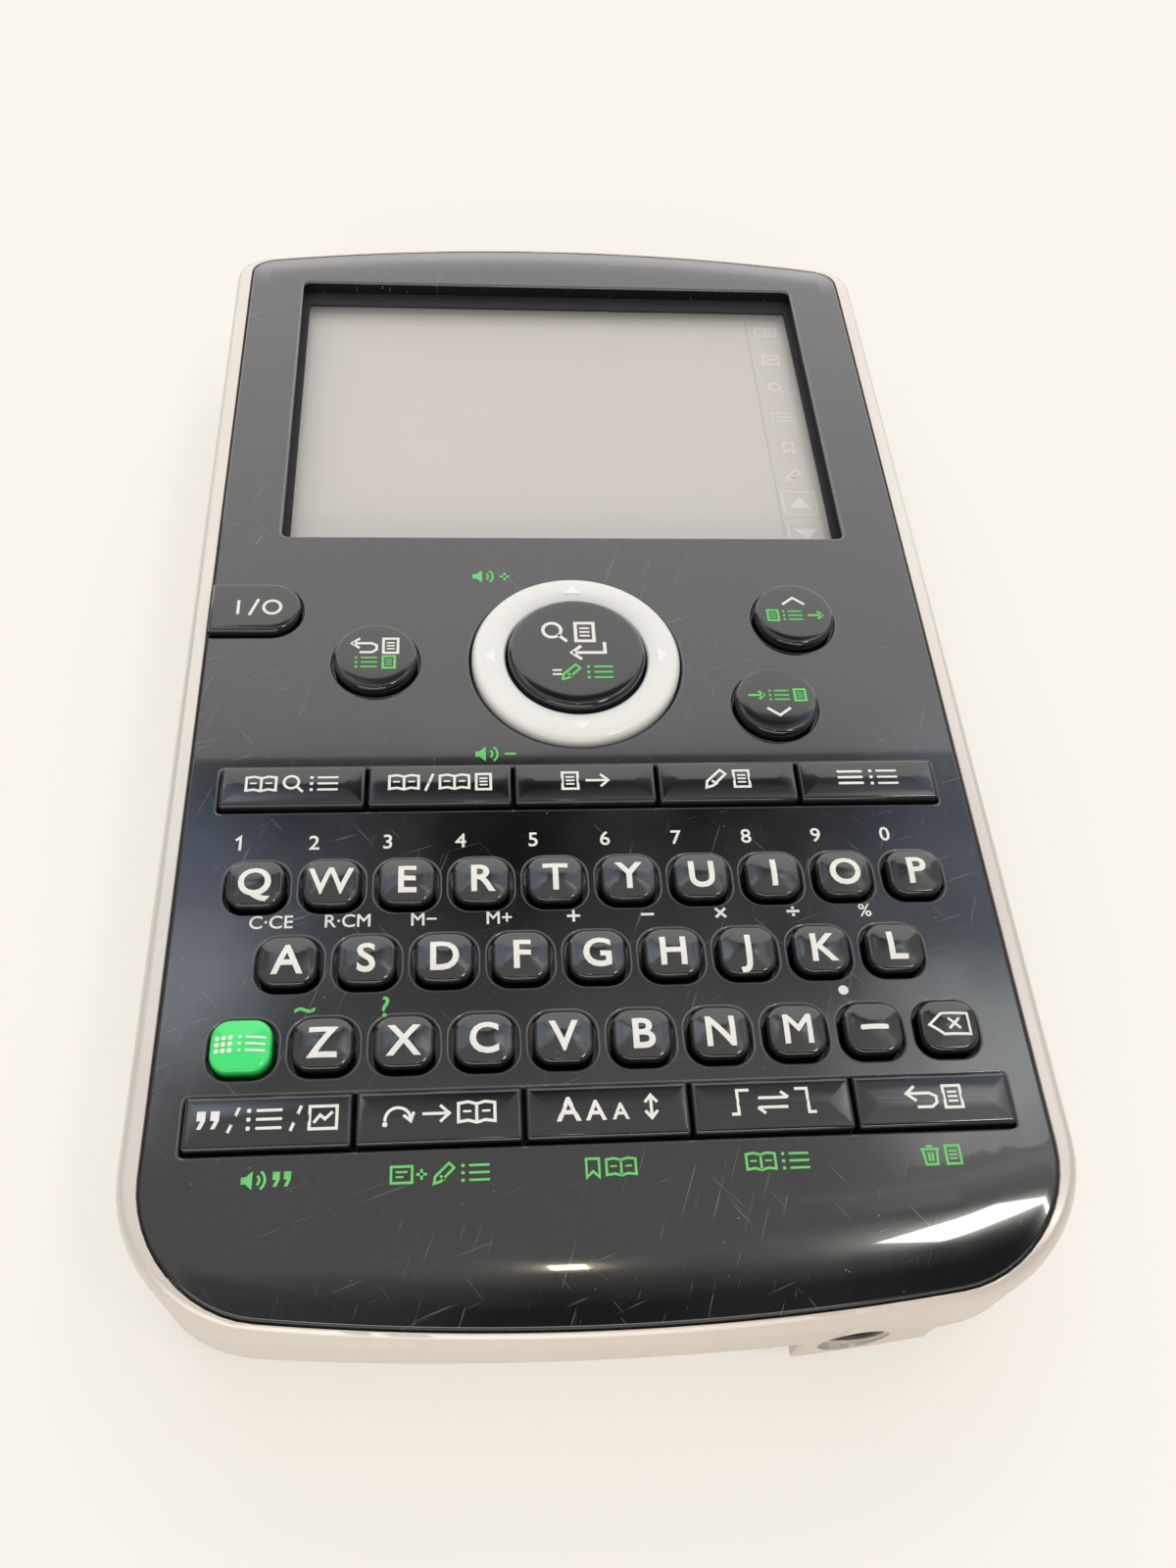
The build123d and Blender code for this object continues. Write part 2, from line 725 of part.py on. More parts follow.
with BuildPart() as rear_cover:
    add(rear_shell.part)
    add(bulkhead.part)
    add(deck.part)
    with BuildSketch(Plane.XY.offset(deck_underside)):
        with Locations((0, bay_line)):
            Rectangle(*bay_outer)
    extrude(amount=bay_top - deck_underside)
    with BuildSketch(Plane.XY.offset(case_wall / 2)):
        with Locations(*screw_places[:2]):
            RegularPolygon(screw_post_radius, boss_sides)
    extrude(amount=parting_height - case_wall / 2)
    with BuildSketch(Plane.XY.offset(deck_underside)):
        with Locations(*screw_places[2:]):
            RegularPolygon(screw_post_radius, boss_sides)
    extrude(amount=parting_height - deck_underside)
    with BuildSketch():
        with Locations((0, bay_line)):
            Rectangle(*bay_inner)
        with Locations(*screw_places):
            RegularPolygon(screw_shank_radius + screw_shank_gap, boss_sides)
    extrude(amount=front_face, mode=Mode.SUBTRACT)
    with BuildSketch():
        with Locations(*screw_places):
            RegularPolygon(screw_head_radius + screw_head_gap, 2 * boss_sides)
    extrude(amount=deck_top, mode=Mode.SUBTRACT)
    with BuildSketch():
        with Locations(speaker_place):
            with GridLocations(1, speaker_slot_pitch, 1, speaker_slot_count):
                Rectangle(*speaker_slot)
    extrude(amount=case_wall, mode=Mode.SUBTRACT)
write(rear_cover.part, "rear_cover")

with BuildPart() as battery_door:
    add(case_form)
    add(door_zone, mode=Mode.INTERSECT)
    add(door_cavity, mode=Mode.SUBTRACT)
    with BuildSketch():
        with Locations((0, door_line - grip_margin)):
            with GridLocations(1, grip_pitch, 1, grip_count):
                Rectangle(*grip_size)
    extrude(amount=grip_depth, mode=Mode.SUBTRACT)
write(battery_door.part, "battery_door")


# Display ------------------------------------------------------------------------------------

with BuildPart() as window_gasket:
    with BuildSketch(Plane.XY.offset(touch_top)):
        with Locations((0, window_middle)):
            Rectangle(window_width + 2 * touch_margin, window_height + 2 * touch_margin)
        clear_width = window_width - 2 * gasket_side_border
        clear_low = window_bottom + gasket_bottom_border
        clear_high = window_bottom + window_height - gasket_top_border
        with Locations((0, (clear_low + clear_high) / 2)):
            Rectangle(clear_width, clear_high - clear_low, mode=Mode.SUBTRACT)
    extrude(amount=gasket_thickness)
write(window_gasket.part, "window_gasket")

with BuildPart() as touch_panel:
    with BuildSketch(Plane.XY.offset(touch_underside)):
        with Locations((0, window_middle)):
            Rectangle(window_width + 2 * touch_margin, window_height + 2 * touch_margin)
    extrude(amount=touch_thickness)
write(touch_panel.part, "touch_panel")

with BuildPart() as lcd_module:
    with BuildSketch(Plane.XY.offset(lcd_underside)):
        with Locations((0, window_middle)):
            Rectangle(window_width + 2 * lcd_margin, window_height + 2 * lcd_margin)
    extrude(amount=lcd_thickness)
    chamfer(lcd_module.faces().sort_by(Axis.Z)[0].edges(), lcd_bevel)
write(lcd_module.part, "lcd_module")


# Board, mat, speaker ------------------------------------------------------------------------

with BuildPart() as main_board:
    with BuildSketch(Plane.XY.offset(board_underside)):
        with Locations((0, (board_top_edge + board_bottom_edge) / 2)):
            Rectangle(2 * board_side, board_top_edge - board_bottom_edge)
    extrude(amount=board_thickness)
    with BuildSketch(Plane.XY.offset(board_underside - chip_thickness)):
        for (x, rise), size in chip_places.items():
            with Locations((x, ring_line + rise)):
                Rectangle(*size)
    extrude(amount=chip_thickness)
write(main_board.part, "main_board")

ring_pad_radius = (ring_outer + ring_inner) / 2
ring_pad_top = ring_underside - (ring_pad_radius + pad_size) * sin(radians(ring_tilt)) - pad_gap
key_centres = [*letter_places.values(), *bar_places.values(), *round_places.values()]
with BuildPart() as keypad_mat:
    with BuildSketch(Plane.XY.offset(board_top)):
        with Locations((0, (mat_top_edge + board_bottom_edge) / 2)):
            Rectangle(2 * mat_side, mat_top_edge - board_bottom_edge)
        with Locations(*inner_boss_places):
            RegularPolygon(board_boss_radius + board_boss_gap, boss_sides, mode=Mode.SUBTRACT)
    extrude(amount=mat_base)
    with BuildSketch(Plane.XY.offset(mat_top)):
        with Locations(*key_centres, power_centre, dpad_place):
            Rectangle(pad_size, pad_size)
    extrude(amount=pad_height)
    with BuildSketch(Plane.XY.offset(mat_top)):
        with Locations(dpad_place):
            with PolarLocations(ring_pad_radius, 4):
                Rectangle(pad_size, pad_size)
    extrude(amount=ring_pad_top - mat_top)
write(keypad_mat.part, "keypad_mat")

with BuildPart() as speaker:
    with BuildSketch(Plane((*speaker_place, case_wall))):
        RegularPolygon(speaker_radius, 4 * boss_sides)
    extrude(amount=speaker_thickness)
write(speaker.part, "speaker")


# Batteries ----------------------------------------------------------------------------------

plate_face = bay_length / 2 - contact_thickness
cell_shift = plate_face - bay_gap - cell_length / 2
cell_lines = {1: bay_line + (cell_diameter + cell_gap) / 2, -1: bay_line - (cell_diameter + cell_gap) / 2}
can_length = cell_length - cell_nub_length
with BuildPart() as battery_cells:
    for side, line in cell_lines.items():
        flat_end = side * (cell_shift - cell_length / 2)
        with BuildSketch(Plane(origin=(flat_end, line, cell_axis), z_dir=(side, 0, 0))):
            RegularPolygon(cell_radius, 4 * boss_sides)
        extrude(amount=can_length)
        with BuildSketch(Plane(origin=(flat_end, line, cell_axis), z_dir=(side, 0, 0))):
            RegularPolygon(cell_nub_radius, boss_sides)
        extrude(amount=cell_length)
write(battery_cells.part, "battery_cells")

contact_size = cell_diameter - 2 * contact_inset
with BuildPart() as battery_contacts:
    for side, line in cell_lines.items():
        flat_end = side * (cell_shift - cell_length / 2)
        spring_foot = -side * plate_face
        with Locations((side * (plate_face + contact_thickness / 2), line, cell_axis)):
            Box(contact_thickness, contact_size, contact_size)
        with Locations((-side * (plate_face + contact_thickness / 2), line, cell_axis)):
            Box(contact_thickness, contact_size, contact_size)
        reach = abs(flat_end - spring_foot) - leaf_gap
        # A bent leaf that bears on the flat end of the cell.
        with BuildSketch(Plane.XZ.offset(leaf_width / 2 - line)):
            with BuildLine():
                foot = spring_foot
                tip = spring_foot + side * reach
                Polyline(
                    (foot, cell_axis - leaf_rise),
                    (tip, cell_axis),
                    (foot, cell_axis + leaf_rise),
                    (foot, cell_axis + leaf_rise - leaf_thickness),
                    (tip - side * leaf_thickness, cell_axis),
                    (foot, cell_axis - leaf_rise + leaf_thickness),
                    close=True,
                )
            make_face()
        extrude(amount=-leaf_width)
write(battery_contacts.part, "battery_contacts")


# Earphone jack, stylus, screws --------------------------------------------------------------

jack_front = -boss_back - jack_body_setback
jack_floor = jack_height - jack_hole_radius - jack_floor_wall
with BuildPart() as earphone_jack:
    with BuildSketch(Plane.XZ.offset(jack_front)):
        with Locations((jack_place, (jack_floor + board_underside) / 2)):
            Rectangle(jack_body_width, board_underside - jack_floor)
    extrude(amount=-jack_body_length)
    with BuildSketch(Plane.XZ.offset(jack_front)):
        with Locations((jack_place, jack_height)):
            Circle(jack_nose_radius)
    extrude(amount=jack_face - jack_recess_depth - jack_front)
    with BuildSketch(Plane.XZ.offset(jack_face)):
        with Locations((jack_place, jack_height)):
            Circle(jack_hole_radius)
    extrude(amount=-jack_bore_length, mode=Mode.SUBTRACT)
write(earphone_jack.part, "earphone_jack")

with BuildPart() as stylus:
    with BuildSketch(Plane.XZ.offset(-stylus_tip)):
        with Locations((stylus_place, stylus_height)):
            Circle(stylus_radius)
    extrude(amount=-stylus_length)
    chamfer(stylus.faces().sort_by(Axis.Y)[0].edges(), stylus_tip_length, stylus_radius - stylus_point)
    with BuildSketch(Plane.XZ.offset(stylus_head_length - stylus_end)):
        with Locations((stylus_place, stylus_height)):
            Circle(stylus_head_radius)
    extrude(amount=-stylus_head_length)
write(stylus.part, "stylus")

with BuildPart() as case_screws:
    with BuildSketch(Plane.XY.offset(deck_top - screw_head_height)):
        with Locations(*screw_places):
            RegularPolygon(screw_head_radius, 2 * boss_sides)
    extrude(amount=screw_head_height)
    with BuildSketch(Plane.XY.offset(deck_top)):
        with Locations(*screw_places):
            RegularPolygon(screw_shank_radius, boss_sides)
    extrude(amount=screw_length)
write(case_screws.part, "case_screws")
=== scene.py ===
"""Dresses the pocket electronic dictionary: its shells, keys, display, printing and finishes.

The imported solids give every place. Sizes here are in millimetres, and each piece is brought to
metres when it is finished. +Z is the front face and +Y the display end.
"""

from __future__ import annotations

import json
import logging
import math
from dataclasses import dataclass, field
from enum import Enum
from typing import Callable, Iterable, Sequence

import bmesh
import bpy
from mathutils import Matrix, Vector

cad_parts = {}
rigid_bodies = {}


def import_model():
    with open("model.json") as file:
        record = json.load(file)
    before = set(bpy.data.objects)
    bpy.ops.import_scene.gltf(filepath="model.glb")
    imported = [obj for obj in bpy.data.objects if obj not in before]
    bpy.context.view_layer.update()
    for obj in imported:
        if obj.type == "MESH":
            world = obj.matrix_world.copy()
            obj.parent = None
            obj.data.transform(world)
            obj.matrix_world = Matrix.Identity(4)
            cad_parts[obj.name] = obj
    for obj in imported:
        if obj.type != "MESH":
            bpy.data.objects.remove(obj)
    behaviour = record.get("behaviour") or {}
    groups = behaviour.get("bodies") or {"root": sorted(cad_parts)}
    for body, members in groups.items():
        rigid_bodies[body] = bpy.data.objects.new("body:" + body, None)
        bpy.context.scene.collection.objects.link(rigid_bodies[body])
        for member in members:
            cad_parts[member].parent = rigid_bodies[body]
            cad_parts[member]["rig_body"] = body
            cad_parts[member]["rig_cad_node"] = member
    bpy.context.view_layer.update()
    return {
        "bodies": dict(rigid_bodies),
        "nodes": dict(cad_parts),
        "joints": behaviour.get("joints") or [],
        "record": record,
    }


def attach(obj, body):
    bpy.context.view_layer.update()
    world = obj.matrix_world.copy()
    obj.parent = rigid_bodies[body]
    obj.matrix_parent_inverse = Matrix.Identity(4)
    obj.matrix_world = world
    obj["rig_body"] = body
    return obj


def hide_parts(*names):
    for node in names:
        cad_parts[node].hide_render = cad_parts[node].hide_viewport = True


LOG = logging.getLogger("pocket_dictionary")
MM = 0.001
# Points nearer than this, in millimetres, are one point.
TOUCH = 0.0005
# The smallest radius that a corner keeps when its outline is drawn in.
LEAST_CORNER = 0.4

Point2 = tuple[float, float]
Point3 = tuple[float, float, float]
Colour = tuple[float, float, float]
Fade = tuple[float, float, float, float]
Piece = bpy.types.Object
Socket = bpy.types.NodeSocket


# Working by hand ----------------------------------------------------------------------------


def deselect_all() -> None:
    """Leaves edit mode and selects nothing."""
    if bpy.context.object is not None and bpy.context.object.mode != "OBJECT":
        bpy.ops.object.mode_set(mode="OBJECT")
    bpy.ops.object.select_all(action="DESELECT")


def activate(piece: Piece) -> None:
    """Selects one piece alone and makes it the active one.

    Args:
        piece: the piece.
    """
    deselect_all()
    piece.select_set(True)
    bpy.context.view_layer.objects.active = piece


def open_mesh(piece: Piece, selected: bool = False) -> None:
    """Opens a piece in edit mode.

    Args:
        piece: the piece to edit.
        selected: True to start with everything selected, else nothing is.
    """
    activate(piece)
    bpy.ops.object.mode_set(mode="EDIT")
    bpy.ops.mesh.select_mode(type="VERT")
    bpy.ops.mesh.select_all(action="SELECT" if selected else "DESELECT")


def close_mesh() -> None:
    """Goes back to object mode."""
    bpy.ops.object.mode_set(mode="OBJECT")


def apply_modifier(piece: Piece, kind: str, **settings: object) -> None:
    """Adds one modifier and applies it.

    Args:
        piece: the piece that it shapes.
        kind: the modifier's type.
        settings: its values by name.
    """
    activate(piece)
    modifier = piece.modifiers.new(kind.title(), kind)
    for name, value in settings.items():
        setattr(modifier, name, value)
    bpy.ops.object.modifier_apply(modifier=modifier.name)


def combine(piece: Piece, other: Piece, operation: str) -> None:
    """Cuts, joins or trims a piece with another solid, which is used up.

    Args:
        piece: the piece that stays.
        other: the solid that it is combined with.
        operation: DIFFERENCE, UNION or INTERSECT.
    """
    apply_modifier(piece, "BOOLEAN", object=other, operation=operation, solver="EXACT")
    bpy.data.objects.remove(other)


def join(pieces: Sequence[Piece]) -> Piece:
    """Joins pieces into one.

    Args:
        pieces: the pieces, of which the first takes in the others.

    Returns:
        The first piece.
    """
    deselect_all()
    for piece in pieces:
        piece.select_set(True)
    bpy.context.view_layer.objects.active = pieces[0]
    if len(pieces) > 1:
        bpy.ops.object.join()
    return pieces[0]


def cut(piece: Piece, axis: int, place: float) -> None:
    """Divides a piece's faces along an upright plane.

    Args:
        piece: the piece.
        axis: the axis that the plane lies across, 0 for x and 1 for y.
        place: where on that axis it stands.
    """
    open_mesh(piece, selected=True)
    point, normal = [0.0] * 3, [0.0] * 3
    point[axis], normal[axis] = place, 1.0
    bpy.ops.mesh.bisect(plane_co=point, plane_no=normal)
    close_mesh()


def copy_of(piece: Piece, name: str, shift: Point3 = (0.0, 0.0, 0.0)) -> Piece:
    """Copies a piece with its own mesh.

    Args:
        piece: the piece to copy.
        name: the copy's name.
        shift: how far the copy is moved.

    Returns:
        The copy.
    """
    copy = piece.copy()
    copy.data = piece.data.copy()
    copy.name = name
    copy.data.transform(Matrix.Translation(shift))
    bpy.context.scene.collection.objects.link(copy)
    return copy


def merge_flat(piece: Piece, angle: float = 0.5) -> None:
    """Merges doubles and the flat faces that meet in one plane.

    Args:
        piece: the piece to clean.
        angle: the largest turn, in degrees, that still counts as flat.
    """
    open_mesh(piece, selected=True)
    bpy.ops.mesh.remove_doubles(threshold=0.002)
    bpy.ops.mesh.dissolve_limited(angle_limit=math.radians(angle))
    close_mesh()


def round_edges(piece: Piece, width: float, segments: int = 2, angle: float = 35.0) -> None:
    """Rounds every edge that is sharper than an angle.

    Args:
        piece: the piece to round.
        width: the width of the rounding.
        segments: how many faces it has across.
        angle: the smallest turn, in degrees, of an edge that is rounded.
    """
    apply_modifier(
        piece,
        "BEVEL",
        width=width,
        segments=segments,
        limit_method="ANGLE",
        angle_limit=math.radians(angle),
        use_clamp_overlap=True,
        miter_outer="MITER_ARC",
    )


def shade(piece: Piece, angle: float = 40.0) -> None:
    """Shades a piece smooth, but for the edges that turn by more than an angle in degrees."""
    activate(piece)
    bpy.ops.object.shade_smooth_by_angle(angle=math.radians(angle))


def smooth(piece: Piece, angle: float = 30.0) -> None:
    """Shades a piece smooth up to an angle in degrees, with its large faces kept flat."""
    shade(piece, angle)
    apply_modifier(piece, "WEIGHTED_NORMAL", keep_sharp=True, weight=100)


def loft(name: str, loops: Sequence[Sequence[Point3]], ring: bool = False) -> Piece:
    """Raises a solid through closed loops, one extrusion for each.

    Args:
        name: the piece's name.
        loops: closed loops of the same number of points.
        ring: True where the last loop meets the first, else both ends are filled.

    Returns:
        The new piece.
    """
    count = len(loops[0])
    deselect_all()
    bpy.ops.mesh.primitive_circle_add(vertices=count, radius=1.0, fill_type="NOTHING")
    piece = bpy.context.object
    piece.name = name
    for vertex, place in zip(piece.data.vertices, loops[0]):
        vertex.co = place
    open_mesh(piece, selected=True)
    for step, loop in enumerate(loops[1:]):
        bpy.ops.mesh.extrude_region_move()
        shape = bmesh.from_edit_mesh(piece.data)
        shape.verts.ensure_lookup_table()
        below = step * count
        order: dict[tuple, list[int]] = {}
        for index in range(below, below + count):
            order.setdefault(tuple(shape.verts[index].co), []).append(index - below)
        fresh = [shape.verts[index] for index in range(below + count, below + 2 * count)]
        found = [order[tuple(vertex.co)].pop(0) for vertex in fresh]
        # The next step reads the vertices in the loop's own order.
        for vertex, place in zip(fresh, found):
            vertex.co = loop[place]
            vertex.index = below + count + place
        shape.verts.sort()
        bmesh.update_edit_mesh(piece.data)
    if ring:
        shape = bmesh.from_edit_mesh(piece.data)
        for edge in shape.edges:
            edge.select_set(len(edge.link_faces) == 1)
        bmesh.update_edit_mesh(piece.data)
        bpy.ops.mesh.select_mode(type="EDGE")
        bpy.ops.mesh.bridge_edge_loops()
    else:
        for first in (0, (len(loops) - 1) * count):
            bpy.ops.mesh.select_mode(type="VERT")
            bpy.ops.mesh.select_all(action="DESELECT")
            shape = bmesh.from_edit_mesh(piece.data)
            shape.verts.ensure_lookup_table()
            for index in range(first, first + count):
                shape.verts[index].select_set(True)
            shape.select_flush(True)
            bmesh.update_edit_mesh(piece.data)
            bpy.ops.mesh.edge_face_add()
    close_mesh()
    open_mesh(piece, selected=True)
    bpy.ops.mesh.remove_doubles(threshold=TOUCH)
    bpy.ops.mesh.normals_make_consistent(inside=False)
    close_mesh()
    return piece


def prism(name: str, outline: Sequence[Point2], low: float, high: float) -> Piece:
    """Raises a flat outline between two heights."""
    return loft(name, [[(x, y, z) for x, y in outline] for z in (low, high)])


def circle(radius: float, count: int, centre: Point2 = (0.0, 0.0)) -> list[Point2]:
    """Points of a circle.

    Args:
        radius: its radius.
        count: how many points it has.
        centre: its middle.

    Returns:
        The points, in order.
    """
    turn = 2 * math.pi / count
    return [
        (centre[0] + radius * math.cos(step * turn), centre[1] + radius * math.sin(step * turn))
        for step in range(count)
    ]


def soft_box(width: float, depth: float, corner: float, centre: Point2, steps: int = 6) -> list[Point2]:
    """Points of a rectangle with rounded corners.

    Args:
        width: its size along X.
        depth: its size along Y.
        corner: the radius of its corners.
        centre: its middle.
        steps: how many runs each corner has.

    Returns:
        The points, in order.
    """
    points = []
    for quarter, (across, up) in enumerate(((1, 1), (-1, 1), (-1, -1), (1, -1))):
        middle = (centre[0] + across * (width / 2 - corner), centre[1] + up * (depth / 2 - corner))
        for step in range(steps + 1):
            angle = math.pi / 2 * (quarter + step / steps)
            points.append((middle[0] + corner * math.cos(angle), middle[1] + corner * math.sin(angle)))
    return points


def turned(name: str, profile: Sequence[Point2], count: int, centre: Point2 = (0.0, 0.0),
           upright: bool = True, ring: bool = False) -> Piece:
    """Turns a profile about an axis.

    Args:
        name: the piece's name.
        profile: pairs of radius and distance along the axis.
        count: how many points each turn has.
        centre: where the axis stands, as X and Y, or as X and Z if it lies along Y.
        upright: True for an axis along Z, False for one along Y.
        ring: True for a closed profile that doesn't reach the axis.

    Returns:
        The new piece.
    """
    loops = []
    for radius, along in profile:
        points = circle(radius, count, centre)
        loops.append([(x, y, along) if upright else (x, along, y) for x, y in points])
    return loft(name, loops, ring)


def quarter_round(radius: float, steps: int) -> list[Point2]:
    """Pairs of inset and rise along a quarter round, from the wall up to the top.

    Args:
        radius: its radius.
        steps: how many runs it has.

    Returns:
        The pairs.
    """
    return [
        (radius * (1 - math.cos(math.pi / 2 * step / steps)), radius * math.sin(math.pi / 2 * step / steps))
        for step in range(steps + 1)
    ]


def finish_piece(piece: Piece, body: str, slot: str, *nodes: str) -> Piece:
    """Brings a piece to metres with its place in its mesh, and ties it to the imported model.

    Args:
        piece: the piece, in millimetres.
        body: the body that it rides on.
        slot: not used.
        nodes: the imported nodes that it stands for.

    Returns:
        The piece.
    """
    activate(piece)
    piece.scale = (MM, MM, MM)
    bpy.ops.object.transform_apply(location=True, rotation=True, scale=True)
    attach(piece, body)
    if nodes:
        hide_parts(*nodes)
    return piece


def wear(piece: Piece, *finishes: bpy.types.Material) -> Piece:
    """Gives a piece its materials, in order, in place of any that it has.

    Args:
        piece: the piece.
        finishes: the materials.

    Returns:
        The piece.
    """
    piece.data.materials.clear()
    for finish in finishes:
        piece.data.materials.append(finish)
    return piece


# The slab's form ----------------------------------------------------------------------------


@dataclass(frozen=True)
class Outline:
    """Straight sides, a shallow arc across each end and rounded corners."""

    half_width: float
    half_length: float
    top_arc: float
    bottom_arc: float
    top_corner: float
    bottom_corner: float
    shift: float = 0.0

    def inset(self, side: float, top: float | None = None, bottom: float | None = None) -> Outline:
        """Draws the outline in.

        Args:
            side: how far at the sides.
            top: how far at the display end, like the sides if it isn't given.
            bottom: how far at the keyboard end, like the sides if it isn't given.

        Returns:
            The smaller outline.
        """
        top = side if top is None else top
        bottom = side if bottom is None else bottom
        return Outline(
            self.half_width - side,
            self.half_length - (top + bottom) / 2,
            self.top_arc - top,
            self.bottom_arc - bottom,
            max(self.top_corner - side, LEAST_CORNER),
            max(self.bottom_corner - side, LEAST_CORNER),
            (bottom - top) / 2,
        )

    def points(self) -> list[Point2]:
        """Points of the closed outline, from the right side's top end round to the left.

        Returns:
            The points, in order.
        """
        per_corner, per_arc = 12, 36
        points: list[Point2] = []
        side_ends: list[float] = []
        for arc, corner in ((self.top_arc, self.top_corner), (self.bottom_arc, self.bottom_corner)):
            across = self.half_width - corner
            centre = self.half_length - arc
            rise = centre + math.sqrt((arc - corner) ** 2 - across**2)
            lean = math.asin(across / (arc - corner))
            end: list[Point2] = []
            for step in range(per_corner):
                angle = (math.pi / 2 - lean) * step / per_corner
                end.append((across + corner * math.cos(angle), rise + corner * math.sin(angle)))
            for step in range(per_arc + 1):
                angle = lean * (1 - 2 * step / per_arc)
                end.append((arc * math.sin(angle), centre + arc * math.cos(angle)))
            end.extend((-x, y) for x, y in reversed(end[:per_corner]))
            if side_ends:
                points.extend(self.side_points(-self.half_width, side_ends[0], -rise))
                end = [(-x, -y) for x, y in end]
            points.extend(end)
            side_ends.append(rise)
        points.extend(self.side_points(self.half_width, -side_ends[1], side_ends[0]))
        return [(x, y + self.shift) for x, y in points]

    @staticmethod
    def side_points(x: float, start: float, stop: float, count: int = 14) -> list[Point2]:
        """Points between two ends of a side, both left out, closer together near them."""
        shares = [(1 - math.cos(math.pi * step / count)) / 2 for step in range(1, count)]
        return [(x, start + (stop - start) * share) for share in shares]


@dataclass(frozen=True)
class SlabForm:
    """The sizes that every shell shares, in millimetres."""

    half_width: float = 36.55
    half_length: float = 63.25
    top_arc: float = 200.0
    bottom_arc: float = 215.0
    top_corner: float = 4.2
    bottom_corner: float = 11.5
    front: float = 17.0
    keyboard_roll: Point2 = (20.0, 10.0)
    display_roll: Point2 = (20.0, 6.0)
    sweep_length: float = 16.0
    sweep_rise: float = 8.5
    parting: float = 4.0
    wall: float = 1.4
    panel_thickness: float = 1.5
    panel_half_width: float = 34.8
    panel_half_length: float = 62.15
    panel_top_corner: float = 2.8
    panel_bottom_corner: float = 10.0

    @property
    def body(self) -> Outline:
        """The outline of the whole slab."""
        return Outline(self.half_width, self.half_length, self.top_arc, self.bottom_arc,
                       self.top_corner, self.bottom_corner)

    @property
    def panel(self) -> Outline:
        """The outline of the front panel."""
        return Outline(self.panel_half_width, self.panel_half_length, self.top_arc, self.bottom_arc,
                       self.panel_top_corner, self.panel_bottom_corner)

    def front_height(self, x: float, y: float) -> float:
        """Height of the front face, which rolls down towards both ends.

        Args:
            x: a place across.
            y: a place along.

        Returns:
            The height.
        """
        drop = 0.0
        rolls = ((-1, self.bottom_arc, self.keyboard_roll), (1, self.top_arc, self.display_roll))
        for sign, arc, (radius, length) in rolls:
            inside = arc - math.hypot(x, sign * y - (self.half_length - arc))
            reach = min(length - inside, length)
            if reach > 0:
                drop = max(drop, radius - math.sqrt(radius**2 - reach**2))
        return self.front - drop

    def underside_height(self, y: float) -> float:
        """Height of the underside, which sweeps up at the keyboard end.

        Args:
            y: a place along.

        Returns:
            The height.
        """
        radius = (self.sweep_length**2 + self.sweep_rise**2) / (2 * self.sweep_rise)
        beyond = self.sweep_length - self.half_length - y
        if beyond <= 0:
            return 0.0
        return radius - math.sqrt(max(radius**2 - min(beyond, self.sweep_length) ** 2, 0.01))

    def on_front(self, outline: Outline, drop: float = 0.0) -> list[Point3]:
        """The points of an outline, a little below the front face."""
        return [(x, y, self.front_height(x, y) - drop) for x, y in outline.points()]


# Finishes -----------------------------------------------------------------------------------


